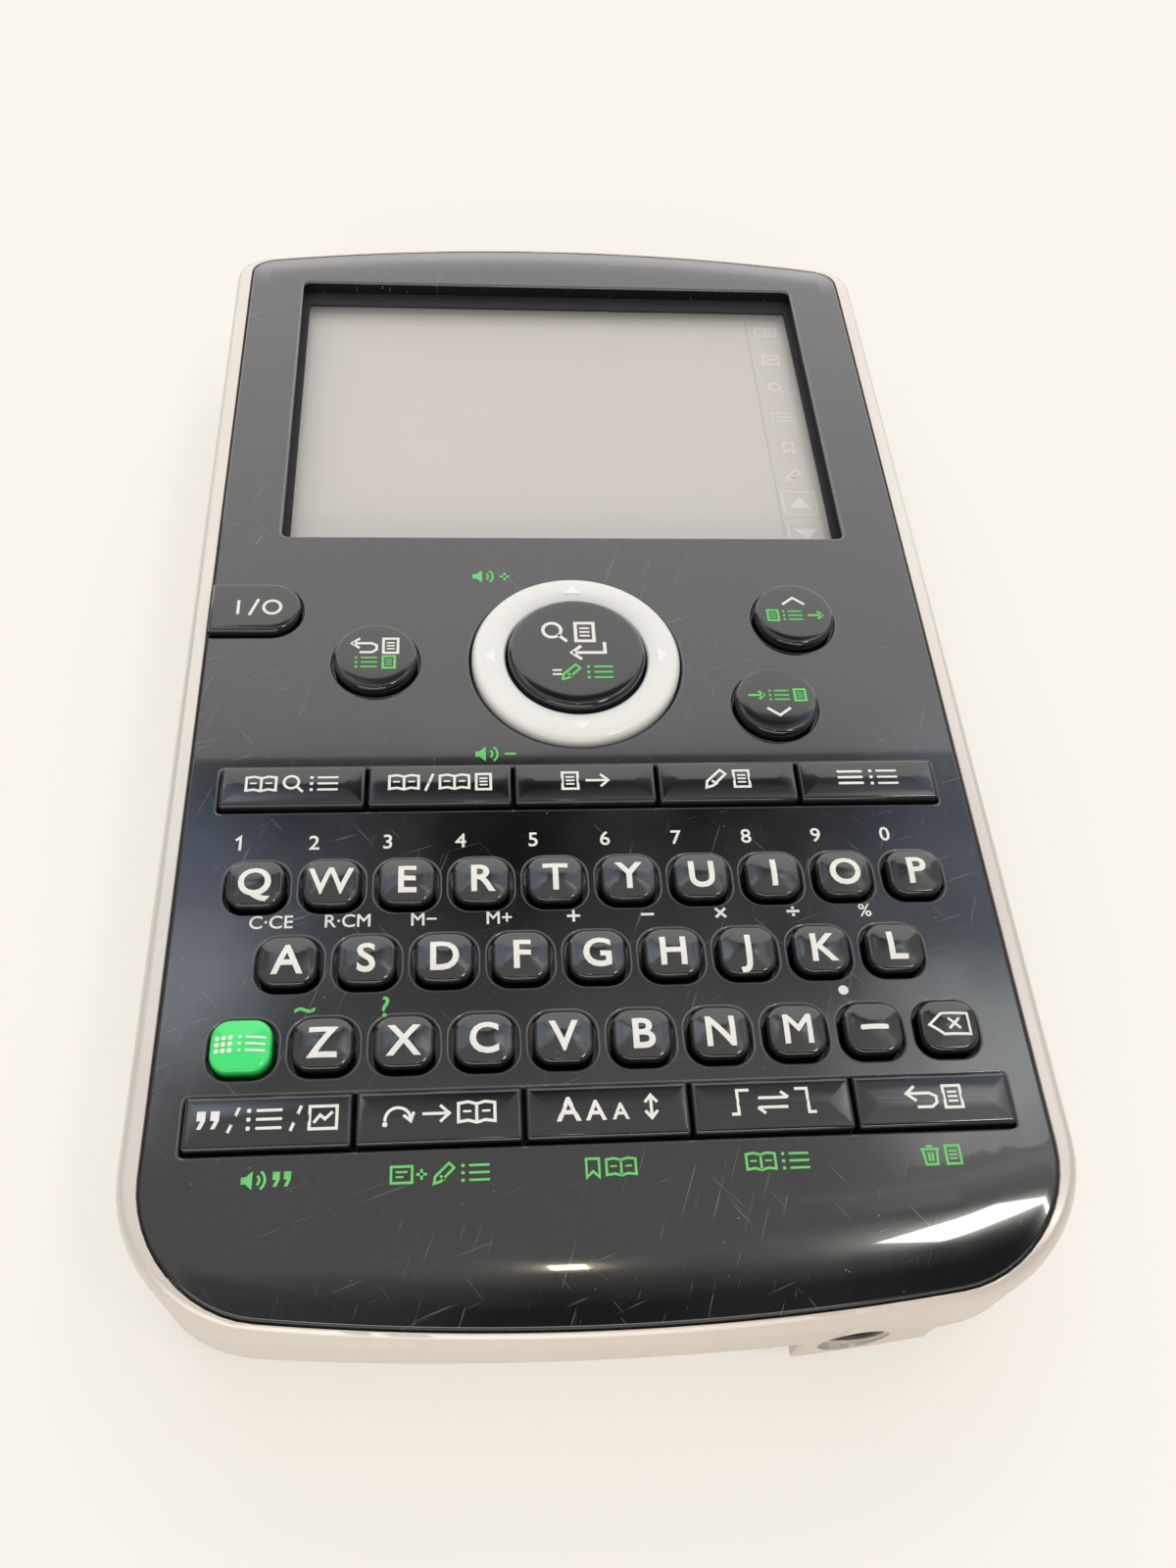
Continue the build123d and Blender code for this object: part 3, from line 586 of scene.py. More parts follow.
class Sheet:
    """One node tree that is filled node by node."""

    def __init__(self, tree: bpy.types.NodeTree) -> None:
        """Starts on a tree."""
        self.tree = tree

    def add(self, kind: str, inputs: dict[str | int, object] | None = None,
            **settings: object) -> bpy.types.Node:
        """Adds a node.

        Args:
            kind: the node's type.
            inputs: values or sockets by the input's name or number.
            settings: the node's own settings.

        Returns:
            The node.
        """
        node = self.tree.nodes.new(kind)
        for name, value in settings.items():
            setattr(node, name, value)
        for name, value in (inputs or {}).items():
            socket = node.inputs[name]
            if isinstance(value, Socket):
                self.tree.links.new(value, socket)
            else:
                socket.default_value = value
        return node

    def math(self, operation: str, first: object, second: object = 0.0, clamp: bool = False) -> Socket:
        """A sum of two values, each a number or a socket."""
        node = self.add("ShaderNodeMath", {0: first, 1: second}, operation=operation, use_clamp=clamp)
        return node.outputs[0]

    def vectors(self, operation: str, first: object, second: object) -> bpy.types.Node:
        """A sum of two vectors or colours."""
        return self.add("ShaderNodeVectorMath", {0: first, 1: second}, operation=operation)

    def spread(self, value: object, low: float, high: float, to_low: float, to_high: float) -> Socket:
        """Maps a value from one range to another and holds it there.

        Args:
            value: the value.
            low: the start of its own range.
            high: the end of its own range.
            to_low: what the start turns into.
            to_high: what the end turns into.

        Returns:
            The mapped value.
        """
        inputs = {"Value": value, "From Min": low, "From Max": high, "To Min": to_low, "To Max": to_high}
        return self.add("ShaderNodeMapRange", inputs).outputs["Result"]

    def blend(self, share: object, first: object, second: object) -> Socket:
        """Mixes two colours.

        Args:
            share: how much of the second there is.
            first: the first colour.
            second: the second colour.

        Returns:
            The mixed colour.
        """
        colours = [value if isinstance(value, Socket) else (*value[:3], 1.0) for value in (first, second)]
        node = self.add("ShaderNodeMix", {0: share, 6: colours[0], 7: colours[1]}, data_type="RGBA")
        return node.outputs[2]

    def noise(self, vector: Socket, scale: object, detail: float, roughness: float = 0.5,
              distortion: float = 0.0) -> Socket:
        """The value of a noise texture.

        Args:
            vector: the coordinates.
            scale: the noise's scale.
            detail: how many finer layers it has.
            roughness: how strong the finer layers are.
            distortion: how far it is swirled.

        Returns:
            The value.
        """
        inputs = {"Vector": vector, "Scale": scale, "Detail": detail, "Roughness": roughness,
                  "Distortion": distortion}
        return self.add("ShaderNodeTexNoise", inputs).outputs["Fac"]

    def millimetres(self) -> Socket:
        """The piece's own coordinates.

        Returns:
            The coordinates, in millimetres.
        """
        place = self.add("ShaderNodeTexCoord")
        scaled = self.add("ShaderNodeMapping", {"Vector": place.outputs["Object"], "Scale": (1000.0,) * 3})
        return scaled.outputs["Vector"]

    def stretched(self, vector: Socket, scale: Point3, turn: float = 0.0) -> Socket:
        """Coordinates that are turned about Z and then stretched.

        Args:
            vector: the coordinates.
            scale: how far they are stretched on each axis.
            turn: the angle, in radians.

        Returns:
            The new coordinates.
        """
        node = self.add("ShaderNodeMapping", {"Vector": vector, "Rotation": (0.0, 0.0, turn)})
        wide = self.add("ShaderNodeMapping", {"Vector": node.outputs["Vector"], "Scale": scale})
        return wide.outputs["Vector"]


class Effect(Enum):
    """The shared effects that the finishes draw on."""

    GRAIN = "fine_grain"
    SCRATCHES = "hairline_scratches"
    DUST = "dust_specks"
    CLOUDS = "soft_clouds"


class Effects:
    """Builds each shared effect once as a node group."""

    def __init__(self) -> None:
        """Builds all the groups."""
        fills = {Effect.GRAIN: self.grain, Effect.SCRATCHES: self.scratches, Effect.DUST: self.dust,
                 Effect.CLOUDS: self.clouds}
        self.groups = {effect: self.build(effect, fill) for effect, fill in fills.items()}

    @staticmethod
    def build(effect: Effect, fill: Callable[..., Socket]) -> bpy.types.NodeTree:
        """Builds one group with a vector and a scale going in and one value coming out.

        Args:
            effect: the effect, which names the group.
            fill: fills a sheet from the vector and the scale, and gives the value.

        Returns:
            The group.
        """
        tree = bpy.data.node_groups.new(effect.value, "ShaderNodeTree")
        tree.interface.new_socket(name="Vector", in_out="INPUT", socket_type="NodeSocketVector")
        scale = tree.interface.new_socket(name="Scale", in_out="INPUT", socket_type="NodeSocketFloat")
        scale.default_value = 1.0
        tree.interface.new_socket(name="Value", in_out="OUTPUT", socket_type="NodeSocketFloat")
        sheet = Sheet(tree)
        entry = sheet.add("NodeGroupInput").outputs
        sheet.add("NodeGroupOutput", {"Value": fill(sheet, entry["Vector"], entry["Scale"])})
        return tree

    @staticmethod
    def grain(sheet: Sheet, vector: Socket, scale: Socket) -> Socket:
        """The fine even grain of moulded plastic."""
        return sheet.noise(vector, scale, 3.0, 0.6)

    @staticmethod
    def scratches(sheet: Sheet, vector: Socket, scale: Socket) -> Socket:
        """Thin scratches in three directions, broken along their length and gathered in some places.

        Args:
            sheet: the group's sheet.
            vector: the coordinates.
            scale: the scale of the marks.

        Returns:
            The value, 1 on a scratch.
        """
        across_and_along = (9.0, 0.2, 1.0)
        layers = []
        for turn, threshold in ((0.35, 0.685), (1.25, 0.69), (-0.7, 0.7)):
            lines = sheet.noise(sheet.stretched(vector, across_and_along, turn), scale, 2.0, 0.75, 0.25)
            layers.append(sheet.spread(lines, threshold, threshold + 0.04, 0.0, 1.0))
        marks = sheet.math("MAXIMUM", sheet.math("MAXIMUM", layers[0], layers[1]), layers[2])
        where = sheet.spread(sheet.noise(vector, 0.05, 2.0), 0.42, 0.58, 0.15, 1.0)
        return sheet.math("MULTIPLY", marks, where)

    @staticmethod
    def dust(sheet: Sheet, vector: Socket, scale: Socket) -> Socket:
        """Small round specks of dust, thicker in some places.

        Args:
            sheet: the group's sheet.
            vector: the coordinates.
            scale: the scale of the specks.

        Returns:
            The value, 1 on a speck.
        """
        cells = sheet.add("ShaderNodeTexVoronoi", {"Vector": vector, "Scale": scale, "Randomness": 1.0})
        specks = sheet.spread(cells.outputs["Distance"], 0.05, 0.1, 1.0, 0.0)
        where = sheet.spread(sheet.noise(vector, 0.35, 4.0), 0.52, 0.68, 0.0, 1.0)
        return sheet.math("MULTIPLY", specks, where)

    @staticmethod
    def clouds(sheet: Sheet, vector: Socket, scale: Socket) -> Socket:
        """Broad soft patches, as of handling."""
        return sheet.spread(sheet.noise(vector, scale, 5.0, 0.55), 0.35, 0.68, 0.0, 1.0)

    def value(self, sheet: Sheet, effect: Effect, vector: Socket, scale: float) -> Socket:
        """The value of one effect on a material's sheet, with its scale in turns a millimetre."""
        inputs = {"Vector": vector, "Scale": scale}
        return sheet.add("ShaderNodeGroup", node_tree=self.groups[effect], inputs=inputs).outputs[0]


def linear(red: int, green: int, blue: int) -> Colour:
    """A colour that is written as on a screen, turned to light values.

    Args:
        red: its red channel, from 0 to 255.
        green: its green channel.
        blue: its blue channel.

    Returns:
        The colour.
    """
    def channel(value: int) -> float:
        """One channel's light value."""
        share = value / 255
        return share / 12.92 if share <= 0.04045 else ((share + 0.055) / 1.055) ** 2.4

    return channel(red), channel(green), channel(blue)


@dataclass(frozen=True)
class Finish:
    """A moulded, painted or metal surface: its colours, gloss, grain, scratches and dust, and on keys a
    painted shade low on their walls.
    """

    name: str
    colour: Colour
    second: Colour
    roughness: float = 0.35
    haze: float = 0.1
    metallic: float = 0.0
    coat: float = 0.0
    coat_roughness: float = 0.08
    specular: float = 0.5
    patch_scale: float = 0.06
    grain_scale: float = 6.0
    grain_height: float = 0.02
    scratch: float = 0.0
    dust: float = 0.0
    dust_colour: Colour = (0.35, 0.35, 0.33)
    # A darker colour low on a key's walls, painted shade down in its opening, and the heights over which it
    # fades out
    shaded_skirt: Colour | None = None
    shaded_skirt_levels: Point2 = (16.9, 17.8)
    alpha: float = 1.0

    def make(self, effects: Effects) -> bpy.types.Material:
        """Builds the material.

        Args:
            effects: the shared effects.

        Returns:
            The material.
        """
        material = bpy.data.materials.new(self.name)
        material.use_nodes = True
        material.node_tree.nodes.clear()
        sheet = Sheet(material.node_tree)
        place = sheet.millimetres()
        patches = effects.value(sheet, Effect.CLOUDS, place, self.patch_scale)
        fine = effects.value(sheet, Effect.GRAIN, place, self.grain_scale)
        colour = sheet.blend(patches, self.colour, self.second)
        # Painted shade: below these heights the colour darkens towards the shaded wall colour
        if self.shaded_skirt is not None:
            height = sheet.add("ShaderNodeSeparateXYZ", {"Vector": place}).outputs["Z"]
            share = sheet.spread(height, *self.shaded_skirt_levels, 0.0, 1.0)
            colour = sheet.blend(share, self.shaded_skirt, colour)
        roughness = sheet.math("ADD", sheet.math("MULTIPLY", patches, self.haze), self.roughness)
        if self.scratch:
            marks = effects.value(sheet, Effect.SCRATCHES, place, 0.5)
            rougher = sheet.math("MULTIPLY", marks, 0.25 * self.scratch)
            roughness = sheet.math("ADD", roughness, rougher, clamp=True)
            brighter = tuple(channel + 0.4 * self.scratch for channel in self.second)
            colour = sheet.blend(sheet.math("MULTIPLY", marks, 0.8 * self.scratch), colour, brighter)
        if self.dust:
            specks = effects.value(sheet, Effect.DUST, place, 1.1)
            amount = sheet.math("MULTIPLY", specks, self.dust)
            colour = sheet.blend(amount, colour, self.dust_colour)
            roughness = sheet.math("ADD", roughness, sheet.math("MULTIPLY", amount, 0.5), clamp=True)
        relief = {"Height": fine, "Distance": 0.0001, "Strength": self.grain_height}
        bump = sheet.add("ShaderNodeBump", relief).outputs["Normal"]
        shader = sheet.add("ShaderNodeBsdfPrincipled", {
            "Base Color": colour, "Roughness": roughness, "Normal": bump, "Alpha": self.alpha,
            "Metallic": self.metallic, "Coat Weight": self.coat, "Coat Roughness": self.coat_roughness,
            "Specular IOR Level": self.specular})
        sheet.add("ShaderNodeOutputMaterial", {"Surface": shader.outputs[0]})
        return material


class Finishes:
    """Every finish of the object, built once and given out by name."""

    def __init__(self, effects: Effects) -> None:
        """Builds the materials."""
        self.made = {finish.name: finish.make(effects) for finish in self.all()}

    def __getitem__(self, name: str) -> bpy.types.Material:
        """The material of that name."""
        return self.made[name]

    @staticmethod
    def all() -> Iterable[Finish]:
        """The finishes, from the front face to the inside.

        Returns:
            The finishes, before they are built.
        """
        return (
            Finish("black_gloss_panel", (0.0035, 0.0036, 0.0042), (0.0065, 0.0067, 0.0075), roughness=0.045,
                   haze=0.16, coat=1.0, coat_roughness=0.03, patch_scale=0.045, grain_height=0.01,
                   scratch=0.6, dust=0.6),
            # Painted highlight: a grey on the rounded lips of the key openings, standing in for the
            # reflection along them
            Finish("panel_edge", (0.07, 0.072, 0.076), (0.11, 0.112, 0.116), roughness=0.2, coat=1.0,
                   grain_height=0.01, scratch=0.3, dust=0.6),
            Finish("pearl_silver", linear(224, 218, 210), linear(216, 205, 197), roughness=0.3, haze=0.08,
                   metallic=0.25, coat=0.5, coat_roughness=0.12, patch_scale=0.02, grain_scale=14.0,
                   grain_height=0.03, scratch=0.1),
            Finish("silver_back", linear(205, 203, 196), linear(196, 192, 184), roughness=0.4, haze=0.08,
                   metallic=0.25, coat=0.2, coat_roughness=0.25, patch_scale=0.03, grain_scale=9.0,
                   grain_height=0.06, scratch=0.3, dust=0.1),
            # The letter, green and pearl key plastics darken low on their walls: painted shade down in the
            # openings
            Finish("letter_plastic", (0.0065, 0.0067, 0.0072), (0.0055, 0.0056, 0.006), roughness=0.2,
                   haze=0.06, coat=0.9, coat_roughness=0.09, grain_scale=9.0, dust=0.25,
                   shaded_skirt=(0.0012, 0.0012, 0.0014)),
            Finish("green_plastic", linear(62, 238, 126), linear(54, 230, 116), roughness=0.25, haze=0.05,
                   coat=0.5, coat_roughness=0.15, dust=0.15, shaded_skirt=linear(6, 88, 32)),
            Finish("black_gloss_key", (0.005, 0.0052, 0.0062), (0.008, 0.0082, 0.0095), roughness=0.1,
                   haze=0.06, coat=0.75, coat_roughness=0.05, scratch=0.2, dust=0.35, grain_height=0.01),
            Finish("pearl_plastic", linear(240, 240, 234), linear(232, 232, 228), roughness=0.25, haze=0.08,
                   coat=0.3, coat_roughness=0.1, shaded_skirt=linear(190, 190, 188), shaded_skirt_levels=(17.0, 17.7)),
            Finish("pearl_mark", linear(252, 252, 250), linear(248, 248, 246), roughness=0.3, haze=0.05),
            Finish("cream_print", linear(243, 241, 233), linear(234, 232, 224), roughness=0.45,
                   patch_scale=0.5),
            Finish("green_print", linear(112, 216, 112), linear(100, 202, 102), roughness=0.45,
                   patch_scale=0.5),
            Finish("gasket_foam", (0.012, 0.012, 0.013), (0.018, 0.018, 0.019), roughness=0.6, haze=0.2,
                   grain_scale=5.0, grain_height=0.2),
            Finish("touch_film", (0.8, 0.78, 0.75), (0.84, 0.82, 0.79), roughness=0.22, haze=0.08,
                   alpha=0.16, grain_height=0.01, specular=0.7),
            Finish("display_face", linear(216, 211, 204), linear(211, 206, 202), roughness=0.5,
                   patch_scale=0.03, grain_scale=10.0, grain_height=0.01),
            Finish("display_mark", linear(240, 238, 232), linear(236, 233, 228), roughness=0.5),
            Finish("display_line", linear(186, 184, 182), linear(180, 178, 177), roughness=0.5),
            Finish("green_board", (0.012, 0.09, 0.035), (0.02, 0.13, 0.05), roughness=0.4, haze=0.15,
                   coat=0.3, patch_scale=0.4),
            Finish("silicone_rubber", (0.22, 0.22, 0.215), (0.26, 0.26, 0.25), roughness=0.6,
                   grain_height=0.05),
            Finish("speaker_steel", (0.35, 0.35, 0.36), (0.28, 0.28, 0.3), haze=0.2, metallic=0.9,
                   patch_scale=0.2),
            Finish("cell_can", (0.05, 0.16, 0.2), (0.035, 0.12, 0.16), roughness=0.25, metallic=0.4,
                   coat=0.5, patch_scale=0.1),
            Finish("contact_nickel", (0.62, 0.6, 0.56), (0.5, 0.48, 0.45), roughness=0.25, haze=0.15,
                   metallic=1.0, patch_scale=0.5),
            Finish("jack_plastic", (0.015, 0.015, 0.016), (0.02, 0.02, 0.021), grain_scale=7.0,
                   grain_height=0.05),
            Finish("stylus_plastic", linear(150, 150, 146), linear(140, 140, 137), roughness=0.32, coat=0.2,
                   grain_height=0.03, scratch=0.2),
            Finish("screw_steel", (0.42, 0.42, 0.43), (0.3, 0.3, 0.32), roughness=0.3, haze=0.2,
                   metallic=1.0, patch_scale=0.8, scratch=0.3),
        )


# Shells -------------------------------------------------------------------------------------


@dataclass
class Layout:
    """Places on the front face, in millimetres."""

    key_pitch: float = 6.25
    cap: Point2 = (4.95, 4.55)
    cap_corner: float = 1.6
    cap_gap: float = 0.2
    row_lines: tuple[float, float, float] = (-26.44, -33.62, -40.80)
    slot: Point2 = (64.2, 4.5)
    upper_slot: float = -16.69
    lower_slot: float = -46.9
    bar_pitch: float = 12.84
    ring_line: float = -2.25
    ring_hole: float = 10.14
    round_opening: float = 4.1
    back: Point2 = (-18.9, -2.3)
    up: Point2 = (21.75, 2.81)
    down: Point2 = (18.56, -7.75)
    power_line: float = 3.94
    power_height: float = 6.3
    power_right: float = -26.0
    power_flat: float = 0.15
    window: Point2 = (57.5, 40.75)
    window_bottom: float = 13.93
    window_corner: float = 0.7
    jack: Point2 = (18.9, 7.6)
    stylus: Point2 = (32.3, 7.95)
    rows: tuple[tuple[str, ...], ...] = (
        tuple(f"key_{letter}" for letter in "qwertyuiop"),
        tuple(f"key_{letter}" for letter in "asdfghjkl"),
        ("function_key", *(f"key_{letter}" for letter in "zxcvbnm"), "dash_key", "clear_key"),
    )

    def letter_places(self) -> dict[str, Point2]:
        """The middle of every letter key.

        Returns:
            The places by node name.
        """
        places = {}
        for names, line in zip(self.rows, self.row_lines):
            for column, name in enumerate(names):
                places[name] = ((column - (len(names) - 1) / 2) * self.key_pitch, line)
        return places

    def power_outline(self, left: float, grow: float) -> list[Point2]:
        """The power key's shape, square at the left and round at the right.

        Args:
            left: where it starts.
            grow: how much larger it is than its opening.

        Returns:
            The points, in order.
        """
        steps = 12
        half = self.power_height / 2 + grow
        corner = half - self.power_flat
        right = self.power_right + grow
        points = [(left, self.power_line - half)]
        for sign in (-1, 1):
            for step in range(steps + 1):
                angle = math.pi / 2 * (step / steps if sign == 1 else step / steps - 1)
                points.append((right - corner + corner * math.cos(angle),
                               self.power_line + sign * self.power_flat + corner * math.sin(angle)))
        points.append((left, self.power_line + half))
        return points


@dataclass
class Part:
    """A sub-assembly, with what all of them are built from."""

    frame: dict
    form: SlabForm
    layout: Layout
    finishes: Finishes
    printer: Printer

    def done(self, piece: Piece, finish: str, body: str, slot: str, *nodes: str,
             signs: Sequence[Piece] = ()) -> Piece:
        """Dresses a piece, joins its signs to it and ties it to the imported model, in metres.

        Args:
            piece: the piece, in millimetres.
            finish: the name of its finish.
            body: the body that it rides on.
            slot: the material slot of the record.
            nodes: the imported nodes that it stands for.
            signs: what is printed on it.

        Returns:
            The finished piece.
        """
        wear(piece, self.finishes[finish])
        return finish_piece(join([piece, *signs]), body, slot, *nodes)


@dataclass
class FrontPanel(Part):
    """The gloss panel with the window and every key opening cut through it, each opening's lip painted
    lighter as a highlight.
    """

    edge_round: float = 0.3
    lip_round: float = 0.25
    roll_reach: float = 9.0
    side_reach: float = 1.4

    def loops(self) -> list[list[Point3]]:
        """The panel's loops.

        Returns:
            The loops, from the middle of its back round its edge to the middle of its front.
        """
        steps = 9
        spread = []
        for step in range(steps + 1):
            share = step / steps
            end = self.edge_round + (self.roll_reach - self.edge_round) * share
            side = self.edge_round + (self.side_reach - self.edge_round) * share
            spread.append(self.form.panel.inset(side, end, end))
        back = [self.form.on_front(outline, self.form.panel_thickness) for outline in reversed(spread)]
        edge = [self.form.on_front(self.form.panel, self.form.panel_thickness)]
        for inset, rise in quarter_round(self.edge_round, 4)[:-1]:
            edge.append(self.form.on_front(self.form.panel.inset(inset), self.edge_round - rise))
        front = [self.form.on_front(outline) for outline in spread]
        return [*back, *edge, *front]

    def opening(self, shape: Callable[[float], list[Point2]]) -> Piece:
        """One opening as a solid that flares out at the front face, where it leaves a round lip.

        Args:
            shape: gives the opening's outline, grown by a width.

        Returns:
            The solid.
        """
        front, lip = self.form.front, self.lip_round
        rows = [(0.0, front - 2 * self.form.panel_thickness - 2)]
        rows += [(grow, front - lip + rise) for grow, rise in quarter_round(lip, 4)]
        rows.append((lip, front + 2))
        return loft("opening", [[(x, y, height) for x, y in shape(grow)] for grow, height in rows])

    def openings(self, *materials: bpy.types.Material) -> Piece:
        """All the openings as one solid.

        Args:
            materials: that of the walls and that of the lips, which is lighter as a painted highlight.

        Returns:
            The solid.
        """
        layout = self.layout
        gap = layout.cap_gap
        cap_width, cap_depth = (size + 2 * gap for size in layout.cap)
        middle = (0.0, layout.window_bottom + layout.window[1] / 2)

        def box(size: Point2, corner: float, place: Point2, steps: int) -> Callable[[float], list[Point2]]:
            """The outline of a box, which grows by a width."""
            width, depth = size
            return lambda grow: soft_box(width + 2 * grow, depth + 2 * grow, corner + grow, place, steps)

        def disc(radius: float, steps: int, place: Point2) -> Callable[[float], list[Point2]]:
            """The outline of a disc, which grows by a width."""
            return lambda grow: circle(radius + grow, steps, place)

        shapes = [box(layout.window, layout.window_corner, middle, 5)]
        for place in layout.letter_places().values():
            shapes.append(box((cap_width, cap_depth), layout.cap_corner + gap, place, 8))
        for line in (layout.upper_slot, layout.lower_slot):
            shapes.append(box(layout.slot, 0.3, (0.0, line), 4))
        for place in (layout.back, layout.up, layout.down):
            shapes.append(disc(layout.round_opening, 56, place))
        shapes.append(disc(layout.ring_hole, 96, (0.0, layout.ring_line)))
        shapes.append(lambda grow: layout.power_outline(-self.form.panel_half_width - 1, grow))
        solid = wear(join([self.opening(shape) for shape in shapes]), *materials)
        # The lips' faces take the lighter finish, a painted highlight round each opening
        for face in solid.data.polygons:
            face.material_index = int(self.form.front - self.lip_round < face.center.z < self.form.front)
        return solid

    def build(self) -> list[Piece]:
        """Models the panel.

        Returns:
            The finished piece.
        """
        # The second finish is the painted highlight on the openings' lips
        black, edge = self.finishes["black_gloss_panel"], self.finishes["panel_edge"]
        panel = wear(loft("panel_gloss_front", self.loops()), black, edge)
        combine(panel, self.openings(black, edge), "DIFFERENCE")
        merge_flat(panel, 0.05)
        smooth(panel, 35.0)
        return [finish_piece(panel, "housing", "black_panel", "front_panel")]


@dataclass
class RimFrame(Part):
    """The pearl rim: side walls, the panel's ledge, the jack's boss and the stylus silo."""

    top_round: float = 0.9
    bottom_round: float = 1.3
    panel_gap: float = 0.1
    lip: float = 0.12
    ledge: float = 1.6
    ledge_underside: float = 12.4
    floor_reach: float = 4.3
    seam: float = 0.2
    jack_recess: Point2 = (2.85, 0.5)
    jack_bore: float = 2.5
    boss_sides: Point2 = (14.5, 25.8)
    boss_back: float = -58.05
    boss_top: float = 10.45
    boss_round: float = 0.6
    silo_radius: float = 3.05
    silo_bore: float = 2.1
    silo_mouth: Point2 = (2.45, 54.0)
    silo_end: float = -11.55
    silo_top: float = 59.0
    silo_wall: float = 0.6
    beyond: float = 70.0
    edge_round: float = 0.12

    def section(self) -> list[list[Point3]]:
        """The rim's loops, once round its wall.

        Returns:
            The loops: outside, over the top, down the pocket and back.
        """
        form = self.form
        body, panel, wall = form.body, form.panel, form.wall

        def low(outline: Outline, rise: float, shell: float = 0.0) -> list[Point3]:
            """Points of an outline on the underside, never below the parting plane."""
            least = form.parting + shell
            return [(x, y, max(least, form.underside_height(y) + rise)) for x, y in outline.points()]

        rim = [low(body, self.bottom_round)]
        for inset, rise in quarter_round(self.top_round, 6):
            rim.append(form.on_front(body.inset(inset), self.top_round - rise))
        for inset, rise in quarter_round(self.lip, 2)[::-1]:
            rim.append(form.on_front(panel.inset(-self.panel_gap - inset), self.lip - rise))
        floor_drop = form.panel_thickness + 0.01
        rim.append(form.on_front(panel.inset(-self.panel_gap), floor_drop))
        rim.append(form.on_front(panel.inset(self.ledge), floor_drop))
        inner = body.inset(wall)
        for outline in (panel.inset(self.ledge), inner):
            rim.append([(x, y, self.ledge_underside) for x, y in outline.points()])
        rim.append(low(inner, wall + 0.3, self.seam))
        # Loops that would lie on one another are kept a little apart, so that no face is empty.
        strip = body.inset(wall + 0.02, wall + 0.02, self.floor_reach)
        rim.append(low(strip, wall, self.seam))
        rim.append(low(strip, 0.0))
        rim.append(low(body.inset(wall - 0.04, wall - 0.04, (self.floor_reach + wall) / 2), 0.0))
        for inset, rise in quarter_round(self.bottom_round, 5)[::-1][:-1]:
            rim.append(low(body.inset(inset), self.bottom_round - rise))
        return rim

    def boss(self) -> Piece:
        """The block behind the earphone opening, which fills the sweep up to the end face.

        Returns:
            The block.
        """
        left, right = self.boss_sides
        tip = -self.form.half_length - 5
        block = prism("boss", [(left, self.boss_back), (left, tip), (right, tip), (right, self.boss_back)],
                      self.form.parting, self.boss_top)
        within = prism("within", self.form.body.inset(0.02).points(), 0.0, self.form.front)
        combine(block, within, "INTERSECT")
        round_edges(block, self.boss_round, 3, 50.0)
        return block

    def build(self) -> list[Piece]:
        """Models the rim.

        Returns:
            The finished piece.
        """
        rim = loft("rim_pearl_frame", self.section(), ring=True)
        combine(rim, self.boss(), "UNION")
        axis = self.layout.stylus
        silo = [(self.silo_radius, self.silo_end), (self.silo_radius, self.silo_top)]
        tube = turned("silo", silo, 32, axis, False)
        within = prism("within", self.form.body.inset(0.3).points(), self.form.parting, self.form.front)
        combine(tube, within, "INTERSECT")
        combine(rim, tube, "UNION")
        mouth, mouth_start = self.silo_mouth
        bore = [(self.silo_bore, self.silo_end + self.silo_wall), (self.silo_bore, mouth_start),
                (mouth, mouth_start), (mouth, self.beyond)]
        combine(rim, turned("bore", bore, 40, axis, False), "DIFFERENCE")
        face = -self.form.half_length + self.form.bottom_arc
        face -= math.sqrt(self.form.bottom_arc**2 - self.layout.jack[0] ** 2)
        recess, depth = self.jack_recess
        hole = [(recess, -self.beyond), (recess, face + depth), (self.jack_bore, face + depth),
                (self.jack_bore, self.boss_back + 1)]
        combine(rim, turned("hole", hole, 48, self.layout.jack, False), "DIFFERENCE")
        round_edges(rim, self.edge_round, 2, 55.0)
        smooth(rim, 32.0)
        return [self.done(rim, "pearl_silver", "housing", "silver_rim", "rim_frame")]


@dataclass
class RearShells(Part):
    """The rear cover and the battery door, remeshed from the imported solids, with the door's edges
    rounded.
    """

    edge_round: float = 0.22

    def soften(self, node: str, rounded: bool) -> Piece:
        """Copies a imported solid, merges its loose faces and rounds its edges.

        Args:
            node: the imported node.
            rounded: True where its edges are rounded.

        Returns:
            The copy, in millimetres.
        """
        shell = copy_of(self.frame["nodes"][node], f"{node}_shell")
        shell.parent = None
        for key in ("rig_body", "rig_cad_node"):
            if key in shell:
                del shell[key]
        shell.data.transform(Matrix.Scale(1 / MM, 4))
        if shell.data.has_custom_normals:
            activate(shell)
            bpy.ops.mesh.customdata_custom_splitnormals_clear()
        merge_flat(shell, 0.6)
        open_mesh(shell, selected=True)
        bpy.ops.mesh.vert_connect_concave()
        close_mesh()
        if rounded:
            round_edges(shell, self.edge_round, 2, 32.0)
        smooth(shell, 35.0)
        return shell

    def build(self) -> list[Piece]:
        """Models both shells.

        Returns:
            The finished pieces.
        """
        cover, door = self.soften("rear_cover", False), self.soften("battery_door", True)
        return [
            self.done(cover, "silver_back", "housing", "silver_rear", "rear_cover"),
            self.done(door, "silver_back", "battery_door", "silver_rear", "battery_door"),
        ]


# Printing -----------------------------------------------------------------------------------


class Ink(Enum):
    """The colours of the printing, by the name of their finish."""

    CREAM = "cream_print"
    GREEN = "green_print"
    PEARL = "pearl_mark"
    PALE = "display_mark"
    LINE = "display_line"


Run = tuple[Point2, ...]


@dataclass(frozen=True)
class Drawing:
    """One pictogram, about two units tall and centred on its middle.

    A box is its middle and size. An arc is its middle, its radius and two angles in degrees. A
    letter is its text, its middle and its height.
    """

    reach: float
    lines: tuple[Run, ...] = ()
    loops: tuple[Run, ...] = ()
    fills: tuple[Run, ...] = ()
    boxes: tuple[tuple[float, float, float, float], ...] = ()
    arcs: tuple[tuple[float, float, float, float, float], ...] = ()
    letters: tuple[tuple[str, float, float, float], ...] = ()


